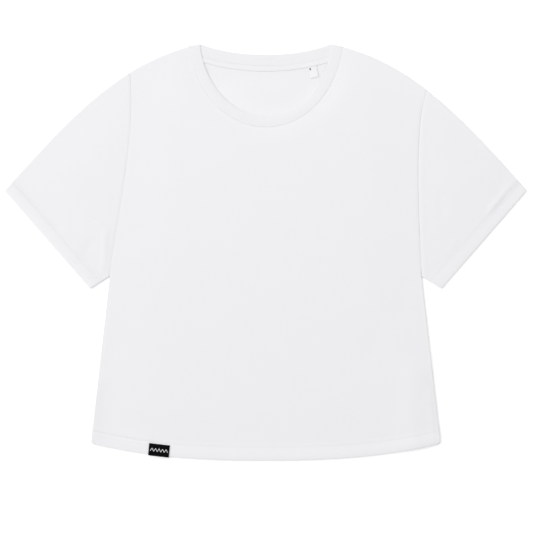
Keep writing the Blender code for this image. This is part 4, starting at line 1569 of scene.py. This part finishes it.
def label_mesh():
    height = HEM_LABEL["height"]

    def place(u, row):
        rise, drop, under = row
        edge_x = HEM_LABEL["x"] + HEM_LABEL["width"] * (u - 0.5)
        x = edge_x + rise * HEM_LABEL["lean"]
        y = hem_y(edge_x) + rise
        resting = front_height(x, hem_y(edge_x) + np.maximum(rise, LABEL_REST))
        z = resting + LABEL_LIFT + (0.0 if under else LABEL_FOLD) - drop
        return np.column_stack([x, y, z, edge_x - HEM_LABEL["x"], np.full(len(u), rise), 0 * u])

    lip = [(rise, drop, False) for rise, drop in LABEL_LIP]
    top = height - LABEL_BEND
    face = [(rise, 0.0, False) for rise in np.linspace(LABEL_START, top, LABEL_ROWS)]
    fold = [(height, LABEL_BEND, False), (top, 0.0, True)]
    tucked = [(rise, 0.0, True) for rise in height - LABEL_TUCKED]
    columns = np.linspace(0, 1, LABEL_COLUMNS)
    return laid_grid("hem_label", columns, lip + face + fold + tucked, place)


label = add_cloth("label", label_mesh(), (label_weave, label_weave), "hem_label", LABEL_CLOTH)

# %% [markdown]
# ## Stitches
#
# Every seam that is sewn through to the outside shows its thread there. A stitch is a small long
# bead, sunk into the cloth by half or more. One bead is copied along each seam line at the stitch
# length, turned to follow the line, and all of a seam's beads are joined in one mesh. Beads have only
# a few faces, because there are hundreds of them.

# %% Stitch helpers
STITCH_PITCH = 0.0032
STITCH_LENGTH = 0.0026
THREAD = 0.00042
SUNK = 0.00010  # how far the middle of a hem's thread lies below the cloth's face
HEM_STITCH_RISES = (HEM_DEPTH, HEM_DEPTH - HEM_ROW_GAP)
FIRST_SHARE = 0.012  # a row starts and ends this share of its length inside the seam's ends


def stitch_mesh(name, rows):
    """Beads along lines of points x, y, z."""
    bm = bmesh.new()
    cloth = bm.loops.layers.uv.new("cloth")
    for line in rows:
        length = line_length(line)
        count = max(int(length / STITCH_PITCH), 1)
        shares = (np.arange(count) + 0.5) / count
        at = along(line)
        step = STITCH_LENGTH / 2 / length
        for start, middle, end in zip(at(shares - step), at(shares), at(shares + step)):
            made = bmesh.ops.create_uvsphere(bm, u_segments=5, v_segments=4, radius=1.0)["verts"]
            bmesh.ops.scale(bm, vec=(THREAD / 2, THREAD / 2, STITCH_LENGTH / 2), verts=made)
            turn = Vector(end - start).to_track_quat("Z", "Y").to_matrix()
            bmesh.ops.rotate(bm, matrix=turn, verts=made)
            bmesh.ops.translate(bm, vec=middle, verts=made)
    for face in bm.faces:
        for loop in face.loops:
            loop[cloth].uv = loop.vert.co.xy
    return finished_mesh(name, bm)


def add_stitches(name, rows):
    obj = add_piece(name, stitch_mesh(name, rows), [white_thread])
    tell(obj)
    return obj


print("a stitch is", 1000 * STITCH_LENGTH, "mm long, and one starts every", 1000 * STITCH_PITCH, "mm")

# %% Hem stitches
STITCH_MARGIN = 0.004  # the hem's rows end this far from the side seams
HEM_LINE_POINTS = 160


def hem_stitch_rows(height):
    """The two rows of a hem, at a height that height(x, y) gives."""
    rows = []
    for rise in HEM_STITCH_RISES:
        half = side_x(HEM_END_Y + rise) - STITCH_MARGIN
        x = np.linspace(-half, half, HEM_LINE_POINTS)
        y = hem_y(x) + rise
        rows.append(np.column_stack([x, y, height(x, y)]))
    return rows


front_hem_rows = hem_stitch_rows(lambda x, y: front_height(x, y) - SUNK)
back_hem_rows = hem_stitch_rows(lambda x, y: np.full(len(x), SUNK))
hem_stitches = add_stitches("hem_stitches_front", front_hem_rows)
back_stitches = add_stitches("hem_stitches_back", back_hem_rows)

# %% Sleeve hem stitches
CUFF_LINE_POINTS = 80


def cuff_rows(side):
    """Two rows over the sleeve's upper layer and two under its lower one."""
    section, sign = sleeve_sections(side), SIDES[side]
    rows = []
    for rise in HEM_STITCH_RISES:
        line = section("hem", rise)[0]
        x, y = line(np.linspace(FIRST_SHARE, 1 - FIRST_SHARE, CUFF_LINE_POINTS)).T
        rows.append(np.column_stack([sign * x, y, sleeve_height(side, x, y) - SUNK]))
        rows.append(np.column_stack([sign * x, y, np.full(len(x), SUNK)]))
    return rows


for side in SIDES:
    add_stitches("cuff_stitches_" + side, cuff_rows(side))

# %% Neck stitches
NECK_STITCH_OUT = 0.0052  # from the collar's seam, on the body
NECK_LINE_POINTS = 180
TAPE_LINE_POINTS = 90
TAPE_STITCH_MARGIN = 0.002  # from the tape's ends
TAPE_STITCHES = (
    # share of the tape's width from its lower edge, height
    (0.17, 0.00126),
    (0.84, 0.00118),
)
neck_line = along(front_neckline(NECK_STITCH_OUT))
neck_x, neck_y = neck_line(np.linspace(FIRST_SHARE, 1 - FIRST_SHARE, NECK_LINE_POINTS)).T
neck_rows = [np.column_stack([neck_x, neck_y, front_height(neck_x, neck_y)])]
tape_reach = TAPE_END_X - TAPE_STITCH_MARGIN
tape_x = np.linspace(-tape_reach, tape_reach, TAPE_LINE_POINTS)
tape_y = tape_lower_y(tape_x)
tape_width = np.interp(tape_x, *BACK_NECKLINE.T) - tape_y
for share, height in TAPE_STITCHES:
    lifted = height + tape_lift(tape_x, share)
    neck_rows.append(np.column_stack([tape_x, tape_y + tape_width * share, lifted]))
neck_stitches = add_stitches("neck_stitches", neck_rows)
